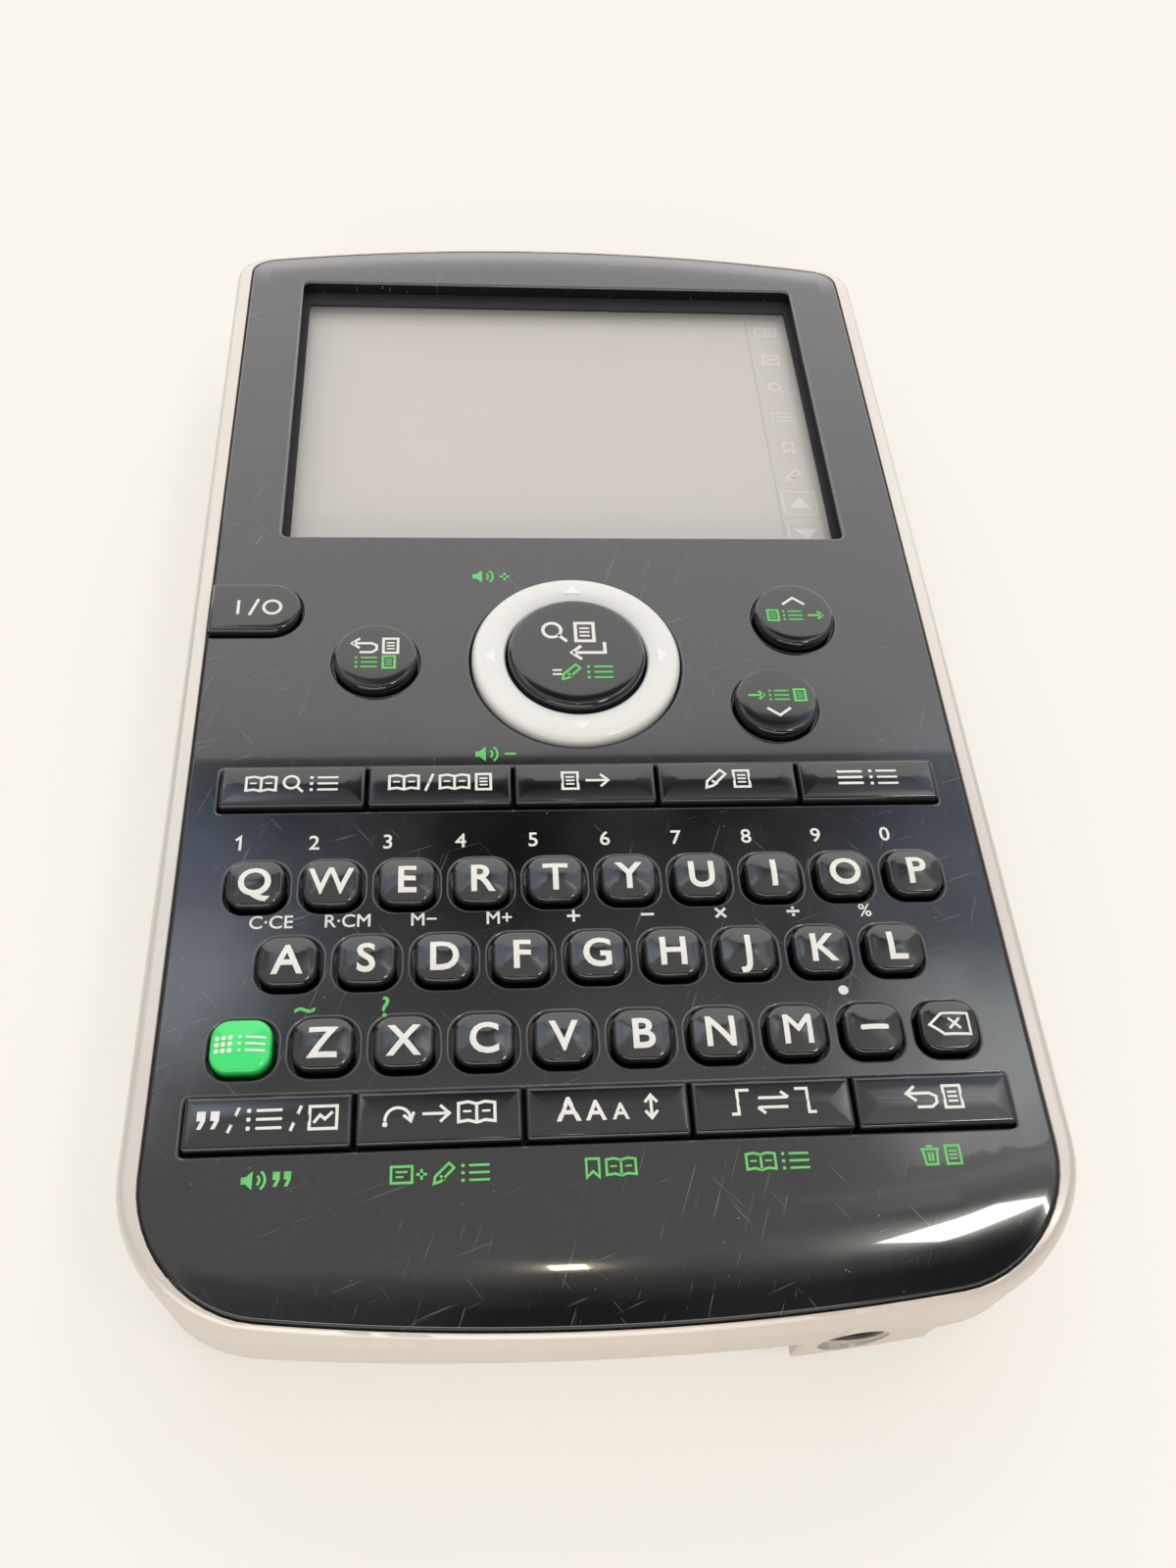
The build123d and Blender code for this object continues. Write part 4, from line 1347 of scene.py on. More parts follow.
class Picture(Enum):
    """The generic pictograms of the keys, each with its drawing."""

    ARROW = Drawing(1.2, lines=(((-1.1, 0.0), (1.0, 0.0)), ((0.35, 0.7), (1.1, 0.0), (0.35, -0.7))))
    BACK = Drawing(1.3, lines=(((-0.5, 1.0), (-1.3, 0.35), (-0.5, -0.3)), (
        (-1.2, 0.35), (0.7, 0.35), (1.25, 0.05), (1.25, -0.5), (0.8, -0.85), (-0.5, -0.85))))
    BACKSPACE = Drawing(
        1.6, lines=(((-0.15, 0.42), (0.75, -0.42)), ((-0.15, -0.42), (0.75, 0.42))),
        loops=(((1.5, 0.85), (-0.6, 0.85), (-1.6, 0.0), (-0.6, -0.85), (1.5, -0.85)),))
    BIN = Drawing(1.0, lines=(
        ((-1.0, 0.65), (1.0, 0.65)), ((-0.35, 0.95), (0.35, 0.95)), ((-0.2, 0.3), (-0.17, -0.6)),
        ((-0.75, 0.5), (-0.6, -0.95), (0.6, -0.95), (0.75, 0.5)), ((0.2, 0.3), (0.17, -0.6))))
    BOOK = Drawing(
        1.6, lines=(((0.0, 0.7), (0.0, -0.8)),), boxes=((-0.78, 0.1, 0.7, 0.18), (0.78, 0.1, 0.7, 0.18)),
        loops=(((0.0, 0.72), (0.7, 0.92), (1.5, 0.8), (1.5, -0.78), (0.7, -0.66), (0.0, -0.86),
                (-0.7, -0.66), (-1.5, -0.78), (-1.5, 0.8), (-0.7, 0.92)),))
    CARD = Drawing(
        1.9, loops=(((-1.8, 0.85), (0.3, 0.85), (0.3, -0.8), (-1.8, -0.8)),),
        boxes=((-0.75, 0.3, 1.2, 0.2), (-0.95, -0.2, 0.8, 0.2), (1.25, 0.0, 1.1, 0.26),
               (1.25, 0.0, 0.26, 1.1)))
    CHART = Drawing(
        1.2, lines=(((-0.75, -0.45), (-0.25, 0.2), (0.15, -0.15), (0.75, 0.45)),),
        loops=(((-1.1, 0.95), (1.1, 0.95), (1.1, -0.95), (-1.1, -0.95)),))
    DOWN = Drawing(1.15, lines=(((-1.1, 0.4), (0.0, -0.45), (1.1, 0.4)),))
    ENTER = Drawing(1.45, lines=(
        ((1.35, 0.95), (1.35, -0.15), (-1.3, -0.15)), ((-0.6, 0.55), (-1.4, -0.15), (-0.6, -0.85))))
    EQUALS = Drawing(0.6, boxes=((0.0, 0.3, 1.1, 0.24), (0.0, -0.3, 1.1, 0.24)))
    GLASS = Drawing(1.1, lines=(((0.3, -0.3), (1.0, -1.0)),), arcs=((-0.2, 0.2, 0.75, 0.0, 360.0),))
    GRID = Drawing(1.0, boxes=tuple(
        (x, y, 0.5, 0.5) for x in (-0.72, 0.0, 0.72) for y in (-0.72, 0.0, 0.72)))
    JUMP = Drawing(
        1.3, lines=(((0.4, -0.05), (1.0, -0.55), (1.25, 0.2)),), boxes=((-1.1, -0.8, 0.4, 0.4),),
        arcs=((-0.05, -0.45, 1.05, 185.0, 5.0),))
    LIST = Drawing(1.5, boxes=tuple(
        (x, y, across, up) for y in (0.75, 0.0, -0.75)
        for x, across, up in ((-1.3, 0.34, 0.34), (0.35, 2.1, 0.24))))
    LOUD = Drawing(1.3, fills=(
        ((-1.2, -0.35), (-0.75, -0.35), (-0.1, -0.95), (-0.1, 0.95), (-0.75, 0.35), (-1.2, 0.35)),),
        arcs=((0.0, 0.0, 0.6, -50.0, 50.0), (0.0, 0.0, 1.15, -50.0, 50.0)))
    MARKER = Drawing(
        0.75, loops=(((-0.65, 0.95), (0.65, 0.95), (0.65, -0.95), (0.0, -0.35), (-0.65, -0.95)),))
    MENU = Drawing(1.4, boxes=tuple((0.0, y, 2.6, 0.28) for y in (0.7, 0.0, -0.7)))
    MINUS = Drawing(0.65, boxes=((0.0, 0.0, 1.2, 0.26),))
    PAGE = Drawing(
        0.85, loops=(((-0.75, 0.95), (0.75, 0.95), (0.75, -0.95), (-0.75, -0.95)),),
        boxes=tuple((0.0, y, 0.85, 0.18) for y in (0.4, 0.0, -0.4)))
    PENCIL = Drawing(1.1, lines=(((-0.45, -0.2), (0.05, -0.65)),), loops=(
        ((-0.95, -0.3), (0.45, 1.05), (0.95, 0.55), (-0.4, -0.8), (-1.05, -1.0)),))
    PLUS = Drawing(0.65, boxes=((0.0, 0.0, 1.2, 0.26), (0.0, 0.0, 0.26, 1.2)))
    QUOTE = Drawing(1.0, fills=(
        ((-0.25, 0.8), (-0.95, 0.8), (-0.95, 0.0), (-0.6, 0.0), (-0.9, -0.7), (-0.55, -0.7), (-0.25, 0.0)),
        ((0.85, 0.8), (0.15, 0.8), (0.15, 0.0), (0.5, 0.0), (0.2, -0.7), (0.55, -0.7), (0.85, 0.0))))
    SIZES = Drawing(
        4.2, lines=(((3.5, 0.7), (3.5, -0.7)), ((3.0, 0.35), (3.5, 0.95), (4.0, 0.35)),
                    ((3.0, -0.35), (3.5, -0.95), (4.0, -0.35))),
        letters=(("A", -3.2, 0.0, 1.9), ("A", -1.0, -0.15, 1.6), ("A", 1.0, -0.3, 1.3)))
    SLASH = Drawing(0.45, lines=(((-0.4, -1.05), (0.4, 1.05)),))
    SWAP = Drawing(
        3.6, lines=(((-1.2, 0.4), (1.2, 0.4)), ((0.7, 0.9), (1.3, 0.4)), ((1.2, -0.4), (-1.2, -0.4)),
                    ((-0.7, -0.9), (-1.3, -0.4)), ((-3.5, -0.9), (-2.9, -0.9), (-2.9, 1.1), (-1.9, 1.1)),
                    ((3.5, -0.9), (2.9, -0.9), (2.9, 1.1), (1.9, 1.1))))
    SWITCH = Drawing(
        2.5, lines=(((-1.9, -0.9), (-1.9, 0.9)), ((-0.75, -1.05), (0.05, 1.05))),
        arcs=((1.45, 0.0, 0.85, 0.0, 360.0),))
    UP = Drawing(1.15, lines=(((-1.1, -0.4), (0.0, 0.45), (1.1, -0.4)),))


@dataclass
class Printer:
    """Draws small flat signs, each a thin closed mesh that lies on a surface."""

    finishes: Finishes
    thickness: float = 0.03
    cap_share: float = 0.686
    space: float = 0.55
    sharpest: float = 0.5
    band_drop: float = 0.002
    drawn_weight: float = 0.02
    arc_step: float = 12.0

    def shape(self, outline: Sequence[Point2], ink: Ink, level: float) -> Piece:
        """A filled outline."""
        piece = prism("print", outline, level - self.thickness, level)
        return wear(piece, self.finishes[ink.value])

    def box(self, centre: Point2, size: Point2, ink: Ink, level: float) -> Piece:
        """A filled rectangle with slightly rounded corners."""
        return self.shape(soft_box(*size, 0.3 * min(size), centre, 2), ink, level)

    def stroke(self, points: Sequence[Point2], width: float, ink: Ink, level: float,
               closed: bool = False) -> Piece:
        """A line of even width with mitred corners.

        Args:
            points: the places that it joins.
            width: its width.
            ink: its colour.
            level: the height of its top.
            closed: True where it comes back to its start.

        Returns:
            The line.
        """
        count = len(points)
        sides: dict[int, list[Point2]] = {1: [], -1: []}
        for index, (x, y) in enumerate(points):
            runs = []
            if index or closed:
                runs.append((x - points[index - 1][0], y - points[index - 1][1]))
            if index < count - 1 or closed:
                after = points[(index + 1) % count]
                runs.append((after[0] - x, after[1] - y))
            runs = [Vector(run).normalized() for run in runs]
            along = sum(runs, Vector((0.0, 0.0))).normalized()
            across = Vector((-along.y, along.x))
            share = max(abs(along.dot(runs[0])), self.sharpest)
            for side in sides:
                reach = side * width / 2 / share
                sides[side].append((x + across.x * reach, y + across.y * reach))
        if closed:
            low, high = level - self.thickness, level
            turns = ((1, low), (1, high), (-1, high), (-1, low))
            loops = [[(x, y, z) for x, y in sides[side]] for side, z in turns]
            return wear(loft("print", loops, ring=True), self.finishes[ink.value])
        return self.shape([*sides[1], *reversed(sides[-1])], ink, level)

    def arc(self, centre: Point2, radius: float, angles: Point2, width: float, ink: Ink,
            level: float) -> Piece:
        """Part of a ring.

        Args:
            centre: its middle.
            radius: the radius of its line.
            angles: where it starts and stops, in degrees.
            width: the line's width.
            ink: its ink.
            level: the height of its top.

        Returns:
            The sign.
        """
        start, stop = angles
        steps = max(5, int(abs(stop - start) / self.arc_step))
        points = []
        for step in range(steps + 1):
            angle = math.radians(start + (stop - start) * step / steps)
            points.append((centre[0] + radius * math.cos(angle), centre[1] + radius * math.sin(angle)))
        if abs(stop - start) >= 360:
            return self.stroke(points[:-1], width, ink, level, closed=True)
        return self.stroke(points, width, ink, level)

    def lettering(self, text: str, fill: str) -> Piece:
        """A text made a flat mesh.

        Args:
            text: the text.
            fill: "BOTH" for a filled one, "NONE" for bare outlines.

        Returns:
            The mesh.
        """
        deselect_all()
        bpy.ops.object.text_add()
        sign = bpy.context.object
        sign.name = "print"
        sign.data.body = text
        sign.data.align_x = "CENTER"
        sign.data.fill_mode = fill
        sign.data.resolution_u = 4
        bpy.ops.object.convert(target="MESH")
        return bpy.context.object

    def outlines(self, text: str) -> list[list[Point2]]:
        """The closed outlines of a text.

        Args:
            text: the text.

        Returns:
            The outlines, each as a run of places.
        """
        wire = self.lettering(text, "NONE")
        runs: list[list[Point2]] = [[]]
        for edge in wire.data.edges:
            start, stop = edge.vertices
            here, there = (wire.data.vertices[index].co.xy for index in (start, stop))
            if (there - here).length > 2 * TOUCH:
                runs[-1].append(tuple(here))
            if abs(stop - start) != 1:
                runs.append([])
        bpy.data.objects.remove(wire)
        return [run for run in runs if run]

    def glyph(self, text: str, centre: Point2, height: float, ink: Ink, level: float,
              weight: float = 0.01) -> Piece:
        """A letter, a number or a sign, made bolder by a band along its outlines.

        Args:
            text: what it says.
            centre: the middle of its capital height.
            height: the height of a capital.
            ink: its colour.
            level: the height of its top.
            weight: how much its strokes are thickened on each side, as a share of its size.

        Returns:
            The sign.
        """
        size = height / self.cap_share
        left, low = centre[0], centre[1] - height / 2
        sign = self.lettering(text, "BOTH")
        place = Matrix.Translation((left, low, level - self.thickness))
        sign.data.transform(place @ Matrix.Diagonal((size, size, 1.0, 1.0)))
        open_mesh(sign, selected=True)
        bpy.ops.mesh.remove_doubles(threshold=TOUCH)
        bpy.ops.mesh.dissolve_limited(angle_limit=math.radians(1.0))
        bpy.ops.mesh.select_all(action="SELECT")
        bpy.ops.mesh.extrude_region_move(TRANSFORM_OT_translate={"value": (0.0, 0.0, self.thickness)})
        bpy.ops.mesh.select_all(action="SELECT")
        bpy.ops.mesh.normals_make_consistent(inside=False)
        close_mesh()
        pieces = [wear(sign, self.finishes[ink.value])]
        for run in self.outlines(text):
            points = [(left + x * size, low + y * size) for x, y in run]
            pieces.append(self.stroke(points, 2 * weight * size, ink, level - self.band_drop, closed=True))
        return join(pieces)

    def draw(self, picture: Picture, centre: Point2, ink: Ink, level: float, scale: float = 1.0,
             width: float = 0.26) -> list[Piece]:
        """Draws one pictogram.

        Args:
            picture: which one.
            centre: its middle.
            ink: its colour.
            level: the height of its top.
            scale: its size against the drawing's own.
            width: the width of its lines.

        Returns:
            Its pieces.
        """
        drawing = picture.value

        def at(*run: Point2) -> list[Point2]:
            """A run at its place."""
            return [(centre[0] + x * scale, centre[1] + y * scale) for x, y in run]

        made = [self.stroke(at(*run), width, ink, level) for run in drawing.lines]
        made += [self.stroke(at(*run), width, ink, level, closed=True) for run in drawing.loops]
        made += [self.shape(at(*run), ink, level) for run in drawing.fills]
        for x, y, across, up in drawing.boxes:
            made.append(self.box(at((x, y))[0], (across * scale, up * scale), ink, level))
        for x, y, radius, start, stop in drawing.arcs:
            made.append(self.arc(at((x, y))[0], radius * scale, (start, stop), width, ink, level))
        for text, x, y, height in drawing.letters:
            made.append(self.glyph(text, at((x, y))[0], height * scale, ink, level, self.drawn_weight))
        return made

    def row(self, pictures: Sequence[Picture], centre: Point2, ink: Ink, level: float, scale: float = 1.0,
            width: float = 0.26) -> list[Piece]:
        """Draws pictograms side by side, centred as a group.

        Args:
            pictures: which ones, from left to right.
            centre: the middle of the group.
            ink: their colour.
            level: the height of their top.
            scale: their size against the drawings' own.
            width: the width of their lines.

        Returns:
            Their pieces.
        """
        reaches = [picture.value.reach * scale for picture in pictures]
        x = centre[0] - sum(reaches) - self.space * scale * (len(pictures) - 1) / 2
        made = []
        for picture, reach in zip(pictures, reaches):
            made += self.draw(picture, (x + reach, centre[1]), ink, level, scale, width)
            x += 2 * reach + self.space * scale
        return made


# Keys ---------------------------------------------------------------------------------------


@dataclass
class LetterKeys(Part):
    """The three rows of small keycaps with their letters."""

    flange_low: float = 14.8
    flange_high: float = 15.4
    flange_lip: float = 0.5
    top: float = 17.92
    draft: float = 0.12
    shoulder: float = 0.36
    spread: float = 1.0
    crown: float = 0.34
    letter_height: float = 2.4
    letter_weight: float = 0.02
    narrow_weight: float = 0.012
    lay_step: float = 0.4
    proud: float = 0.025
    crown_shares: tuple[float, ...] = (0.0, 0.15, 0.3, 0.45, 0.6, 0.8)

    def loop(self, inset: float, height: float, corner: float | None = None) -> list[Point3]:
        """One loop of the cap.

        Args:
            inset: how far it is drawn in from the cap's foot.
            height: its height.
            corner: the radius of its corners, where the inset doesn't give it.

        Returns:
            The points, in order.
        """
        width, depth = (size - 2 * inset for size in self.layout.cap)
        corner = max(self.layout.cap_corner - inset, 0.25) if corner is None else corner
        return [(x, y, height) for x, y in soft_box(width, depth, corner, (0.0, 0.0), 8)]

    def master(self) -> Piece:
        """One keycap at the origin: a flange, a drafted wall, a round shoulder and a crowned top.

        Returns:
            The keycap, without printing.
        """
        lip = -self.flange_lip
        loops = [self.loop(lip, self.flange_low, 1.0), self.loop(lip, self.flange_high, 1.0),
                 self.loop(0.0, self.flange_high)]
        wall_top = self.top - self.shoulder
        loops.append(self.loop(self.draft / 2, (self.flange_high + wall_top) / 2))
        for inset, rise in quarter_round(self.shoulder, 6)[:-1]:
            loops.append(self.loop(self.draft + inset * self.spread, wall_top + rise))
        for share in self.crown_shares:
            inset = self.edge + (self.layout.cap[1] / 2 - self.edge) * share
            loops.append([(x, y, self.crown_height(x, y)) for x, y, _ in self.loop(inset, 0.0)])
        cap = loft("letter_cap", loops)
        shade(cap)
        return cap

    @property
    def edge(self) -> float:
        """How far in from its foot the cap's crown starts."""
        return self.draft + self.shoulder * self.spread

    def crown_height(self, x: float, y: float) -> float:
        """Height of the crown at a place on the cap.

        Args:
            x: the place across, from the cap's middle.
            y: the place along, from the cap's middle.

        Returns:
            The height.
        """
        across, up = (size / 2 - self.edge for size in self.layout.cap)
        rise = max(1 - (x / across) ** 2, 0.0) * max(1 - (y / up) ** 2, 0.0)
        return self.top + self.crown * rise

    def lay(self, sign: Piece, place: Point2) -> Piece:
        """Bends one sign onto the crown of a key.

        Args:
            sign: the sign, drawn at height zero.
            place: the key's middle.

        Returns:
            The sign.
        """
        steps = int(self.layout.cap[0] / 2 / self.lay_step)
        for axis in (0, 1):
            for step in range(-steps, steps + 1):
                cut(sign, axis, place[axis] + step * self.lay_step)
        for vertex in sign.data.vertices:
            vertex.co.z += self.crown_height(vertex.co.x - place[0], vertex.co.y - place[1]) + self.proud
        return sign

    def sign(self, name: str, place: Point2) -> list[Piece]:
        """The printing on one key.

        Args:
            name: the key's node.
            place: the key's middle.

        Returns:
            The signs.
        """
        printer = self.printer
        if name == "dash_key":
            return [printer.box((place[0], place[1] - 0.1), (2.3, 0.42), Ink.CREAM, 0.0)]
        if name == "clear_key":
            return printer.draw(Picture.BACKSPACE, place, Ink.CREAM, 0.0, 1.05, 0.21)
        if name == "function_key":
            return printer.row((Picture.GRID, Picture.LIST), place, Ink.CREAM, 0.0, 0.72, 0.2)
        letter = name[-1].upper()
        weight = self.narrow_weight if letter in "MW" else self.letter_weight
        middle = (place[0], place[1] - 0.02)
        return [printer.glyph(letter, middle, self.letter_height, Ink.CREAM, 0.0, weight)]

    def build(self) -> list[Piece]:
        """Models all the letter keys.

        Returns:
            The finished pieces.
        """
        master = self.master()
        made = []
        for node, place in self.layout.letter_places().items():
            cap = copy_of(master, f"{node}_cap", (*place, 0.0))
            signs = [self.lay(sign, place) for sign in self.sign(node, place)]
            kind = "green" if node == "function_key" else "letter"
            made.append(self.done(cap, f"{kind}_plastic", node, f"{kind}_key", node, signs=signs))
        bpy.data.objects.remove(master)
        return made


@dataclass
class FunctionBars(Part):
    """The two rows of long flat keys."""

    low: float = 14.8
    flange: float = 15.4
    top: float = 17.75
    gap: float = 0.22
    edge_round: float = 0.34
    crown: float = 0.07
    corner: float = 0.3
    flange_lip: float = 0.7
    end_gap: float = 0.2
    rise: float = 0.15
    line: float = 0.23
    insets: tuple[float, ...] = (0.6, 0.9, 1.2, 1.5, 1.8)
    legends: dict[str, tuple[tuple[tuple[Picture, ...], float], ...]] = field(default_factory=lambda: {
        "upper": (
            ((Picture.BOOK, Picture.GLASS, Picture.LIST), 0.85),
            ((Picture.BOOK, Picture.SLASH, Picture.BOOK, Picture.PAGE), 0.85),
            ((Picture.PAGE, Picture.ARROW), 0.92),
            ((Picture.PENCIL, Picture.PAGE), 0.92),
            ((Picture.MENU, Picture.LIST), 0.9),
        ),
        "lower": (
            ((Picture.QUOTE, Picture.SLASH, Picture.LIST, Picture.SLASH, Picture.CHART), 0.92),
            ((Picture.JUMP, Picture.ARROW, Picture.BOOK), 0.92),
            ((Picture.SIZES,), 0.95),
            ((Picture.SWAP,), 0.95),
            ((Picture.BACK, Picture.PAGE), 0.92),
        ),
    })

    def crown_height(self, up: float) -> float:
        """Height of the top at a distance from the bar's middle line, like a very flat barrel."""
        half = self.layout.slot[1] / 2 - self.layout.cap_gap - self.edge_round
        return self.top + self.crown * (1 - min(abs(up) / half, 1.0) ** 2)

    def bar(self, name: str, column: int, line: float) -> Piece:
        """One bar with softly rounded top edges and a very slight crown.

        Args:
            name: the piece's name.
            column: its column, -2 to 2.
            line: the middle of its slot.

        Returns:
            The bar, in millimetres.
        """
        width = self.layout.bar_pitch - self.gap
        depth = self.layout.slot[1] - 2 * self.layout.cap_gap
        x = column * self.layout.bar_pitch
        if abs(column) == 2:
            spare = self.end_gap - self.gap / 2
            width -= spare
            x -= spare / 2 * (1 if column > 0 else -1)

        def level(inset: float, height: float, lip: float = 0.0) -> list[Point3]:
            """One loop of the bar.

            Args:
                inset: how far it is drawn in.
                height: its height.
                lip: how far the flange reaches out along the bar's depth.

            Returns:
                The points, in order.
            """
            corner = max(self.corner - inset, 0.04)
            outline = soft_box(width - 2 * inset, depth - 2 * inset + 2 * lip, corner, (x, line), 4)
            return [(a, b, height) for a, b in outline]

        loops = [level(0.0, self.low, self.flange_lip), level(0.0, self.flange, self.flange_lip),
                 level(0.0, self.flange)]
        for inset, rise in quarter_round(self.edge_round, 6):
            loops.append(level(inset, self.top - self.edge_round + rise))
        for inset in (*self.insets, depth / 2 - 0.03):
            loops.append([(a, b, self.crown_height(b - line)) for a, b, _ in level(inset, 0.0)])
        bar = loft(name, loops)
        shade(bar)
        return bar

    def signs(self, row: str, column: int, line: float) -> list[Piece]:
        """The generic pictograms on one bar.

        Args:
            row: the row's name.
            column: the bar's place in it, counted from the middle one.
            line: the row's middle line.

        Returns:
            The signs.
        """
        pictures, scale = self.legends[row][column + 2]
        place = (column * self.layout.bar_pitch, line + self.rise)
        signs = self.printer.row(pictures, place, Ink.CREAM, 0.02, scale, self.line)
        for sign in signs:
            for vertex in sign.data.vertices:
                vertex.co.z += self.crown_height(vertex.co.y - line)
        return signs

    def build(self) -> list[Piece]:
        """Models both rows.

        Returns:
            The finished pieces.
        """
        made = []
        for row, line in (("upper", self.layout.upper_slot), ("lower", self.layout.lower_slot)):
            for column in range(-2, 3):
                node = f"{row}_bar_key_{column + 3}"
                bar = self.bar(f"{node}_cap", column, line)
                signs = self.signs(row, column, line)
                made.append(self.done(bar, "black_gloss_key", node, "gloss_key", node, signs=signs))
        return made


# The pictures of a row, their ink, how far up the row lies and its scale.
Legend = tuple[tuple[Picture, ...], Ink, float, float]


@dataclass
class RoundKeys(Part):
    """The back, up and down keys."""

    low: float = 14.8
    flange: float = 15.4
    flange_radius: float = 4.35
    radius: float = 3.9
    top: float = 18.05
    edge_round: float = 0.42
    crown: float = 0.05
    legends: dict[str, Sequence[Legend]] = field(default_factory=lambda: {
        "back_key": (((Picture.BACK, Picture.PAGE), Ink.CREAM, 1.05, 0.9),
                     ((Picture.LIST, Picture.PAGE), Ink.GREEN, -0.9, 0.72)),
        "up_key": (((Picture.UP,), Ink.CREAM, 1.45, 1.0),
                   ((Picture.PAGE, Picture.LIST, Picture.ARROW), Ink.GREEN, -0.35, 0.68)),
        "down_key": (((Picture.DOWN,), Ink.CREAM, -1.5, 1.0),
                     ((Picture.ARROW, Picture.LIST, Picture.PAGE), Ink.GREEN, 0.4, 0.68)),
    })

    def profile(self) -> list[Point2]:
        """The profile of one key.

        Returns:
            Pairs of radius and height, from the flange to the middle of the top.
        """
        rim = [(self.radius - inset, self.top - self.edge_round + rise)
               for inset, rise in quarter_round(self.edge_round, 6)]
        crown = [(self.radius * share, self.top + self.crown * (1 - share**2) * 0.99)
                 for share in (0.7, 0.4, 0.12)]
        return [(self.flange_radius, self.low), (self.flange_radius, self.flange),
                (self.radius, self.flange), *rim, *crown]

    def signs(self, node: str, place: Point2) -> list[Piece]:
        """The printing on one of them.

        Args:
            node: the key's node.
            place: the key's middle.

        Returns:
            The signs.
        """
        level = self.top + self.crown + 0.02
        made = []
        for pictures, ink, rise, scale in self.legends[node]:
            middle = (place[0], place[1] + rise)
            made += self.printer.row(pictures, middle, ink, level, scale, 0.16 + 0.1 * scale)
        return made

    def build(self) -> list[Piece]:
        """Models the three keys.

        Returns:
            The finished pieces.
        """
        master = turned("round_key", self.profile(), 72)
        shade(master)
        made = []
        places = {"back_key": self.layout.back, "up_key": self.layout.up, "down_key": self.layout.down}
        for node, place in places.items():
            key = copy_of(master, f"{node}_cap", (*place, 0.0))
            signs = self.signs(node, place)
            made.append(self.done(key, "black_gloss_key", node, "gloss_key", node, signs=signs))
        bpy.data.objects.remove(master)
        return made


@dataclass
class DirectionPad(Part):
    """The pearl ring that rocks and the enter key inside it."""

    inner: float = 6.77
    outer: float = 9.94
    low: float = 14.43
    top: float = 17.85
    inner_round: float = 0.3
    outer_round: float = 0.75
    lug_top: float = 15.03
    lug_turns: tuple[float, ...] = (45.0, 135.0, 225.0, 315.0)
    lug_corners: tuple[Point2, ...] = ((9.44, -2.0), (10.64, -2.0), (10.64, 2.0), (9.44, 2.0))
    mark_turns: tuple[float, ...] = (90.0, 180.0, 270.0, 0.0)
    mark_corners: tuple[Point2, ...] = ((8.755, 0.0), (7.755, 0.95), (7.755, -0.95))
    enter_radius: float = 6.5
    enter_low: float = 14.8
    enter_top: float = 18.5
    enter_round: float = 0.5
    enter_crown: float = 0.05

    def around(self, corners: Sequence[Point2], turn: float) -> list[Point2]:
        """Corners turned about the ring's middle.

        Args:
            corners: each as a distance outwards and one across.
            turn: the angle in degrees.

        Returns:
            The points, in order.
        """
        angle = math.radians(turn)
        return [(out * math.cos(angle) - across * math.sin(angle),
                 self.layout.ring_line + out * math.sin(angle) + across * math.cos(angle))
                for out, across in corners]

    def ring(self) -> Piece:
        """Models the ring with its four lugs and its four faint triangles.

        Returns:
            The finished ring.
        """
        profile = [(self.inner, self.low)]
        for inset, rise in quarter_round(self.inner_round, 4):
            profile.append((self.inner + inset, self.top - self.inner_round + rise - 0.1))
        profile.append(((self.inner + self.outer) / 2 - 0.2, self.top))
        for inset, rise in quarter_round(self.outer_round, 7)[::-1]:
            profile.append((self.outer - inset, self.top - self.outer_round + rise))
        profile.append((self.outer, self.low))
        ring = turned("dpad_ring_pearl", profile, 128, (0.0, self.layout.ring_line), ring=True)
        shade(ring)
        pearl = self.finishes["pearl_plastic"]
        parts = [wear(prism("lug", self.around(self.lug_corners, turn), self.low, self.lug_top), pearl)
                 for turn in self.lug_turns]
        parts += [self.printer.shape(self.around(self.mark_corners, turn), Ink.PEARL, self.top + 0.02)
                  for turn in self.mark_turns]
        return self.done(ring, "pearl_plastic", "dpad_ring", "pearl_ring", "dpad_ring", signs=parts)

    def enter(self) -> Piece:
        """Models the enter key.

        Returns:
            The finished key.
        """
        centre, printer = self.layout.ring_line, self.printer
        profile = [(self.enter_radius, self.enter_low)]
        for inset, rise in quarter_round(self.enter_round, 7):
            profile.append((self.enter_radius - inset, self.enter_top - self.enter_round + rise))
        for share in (0.8, 0.6, 0.4, 0.2, 0.06):
            profile.append((self.enter_radius * share, self.enter_top + self.enter_crown * (1 - share**2)))
        key = turned("enter_key_cap", profile, 96, (0.0, centre))
        shade(key)
        level = self.enter_top + 0.07
        pair = (Picture.GLASS, Picture.PAGE)
        signs = printer.row(pair, (-0.75, centre + 2.25), Ink.CREAM, level, 1.15, 0.32)
        signs += printer.draw(Picture.ENTER, (1.1, centre - 0.1), Ink.CREAM, level, 1.15, 0.32)
        signs += printer.draw(Picture.EQUALS, (-2.0, centre - 2.6), Ink.CREAM, level, 0.8)
        pair = (Picture.PENCIL, Picture.LIST)
        signs += printer.row(pair, (0.9, centre - 2.6), Ink.GREEN, level, 0.85, 0.22)
        return self.done(key, "black_gloss_key", "enter_key", "gloss_key", "enter_key", signs=signs)

    def build(self) -> list[Piece]:
        """Models both pieces and returns them finished."""
        return [self.ring(), self.enter()]


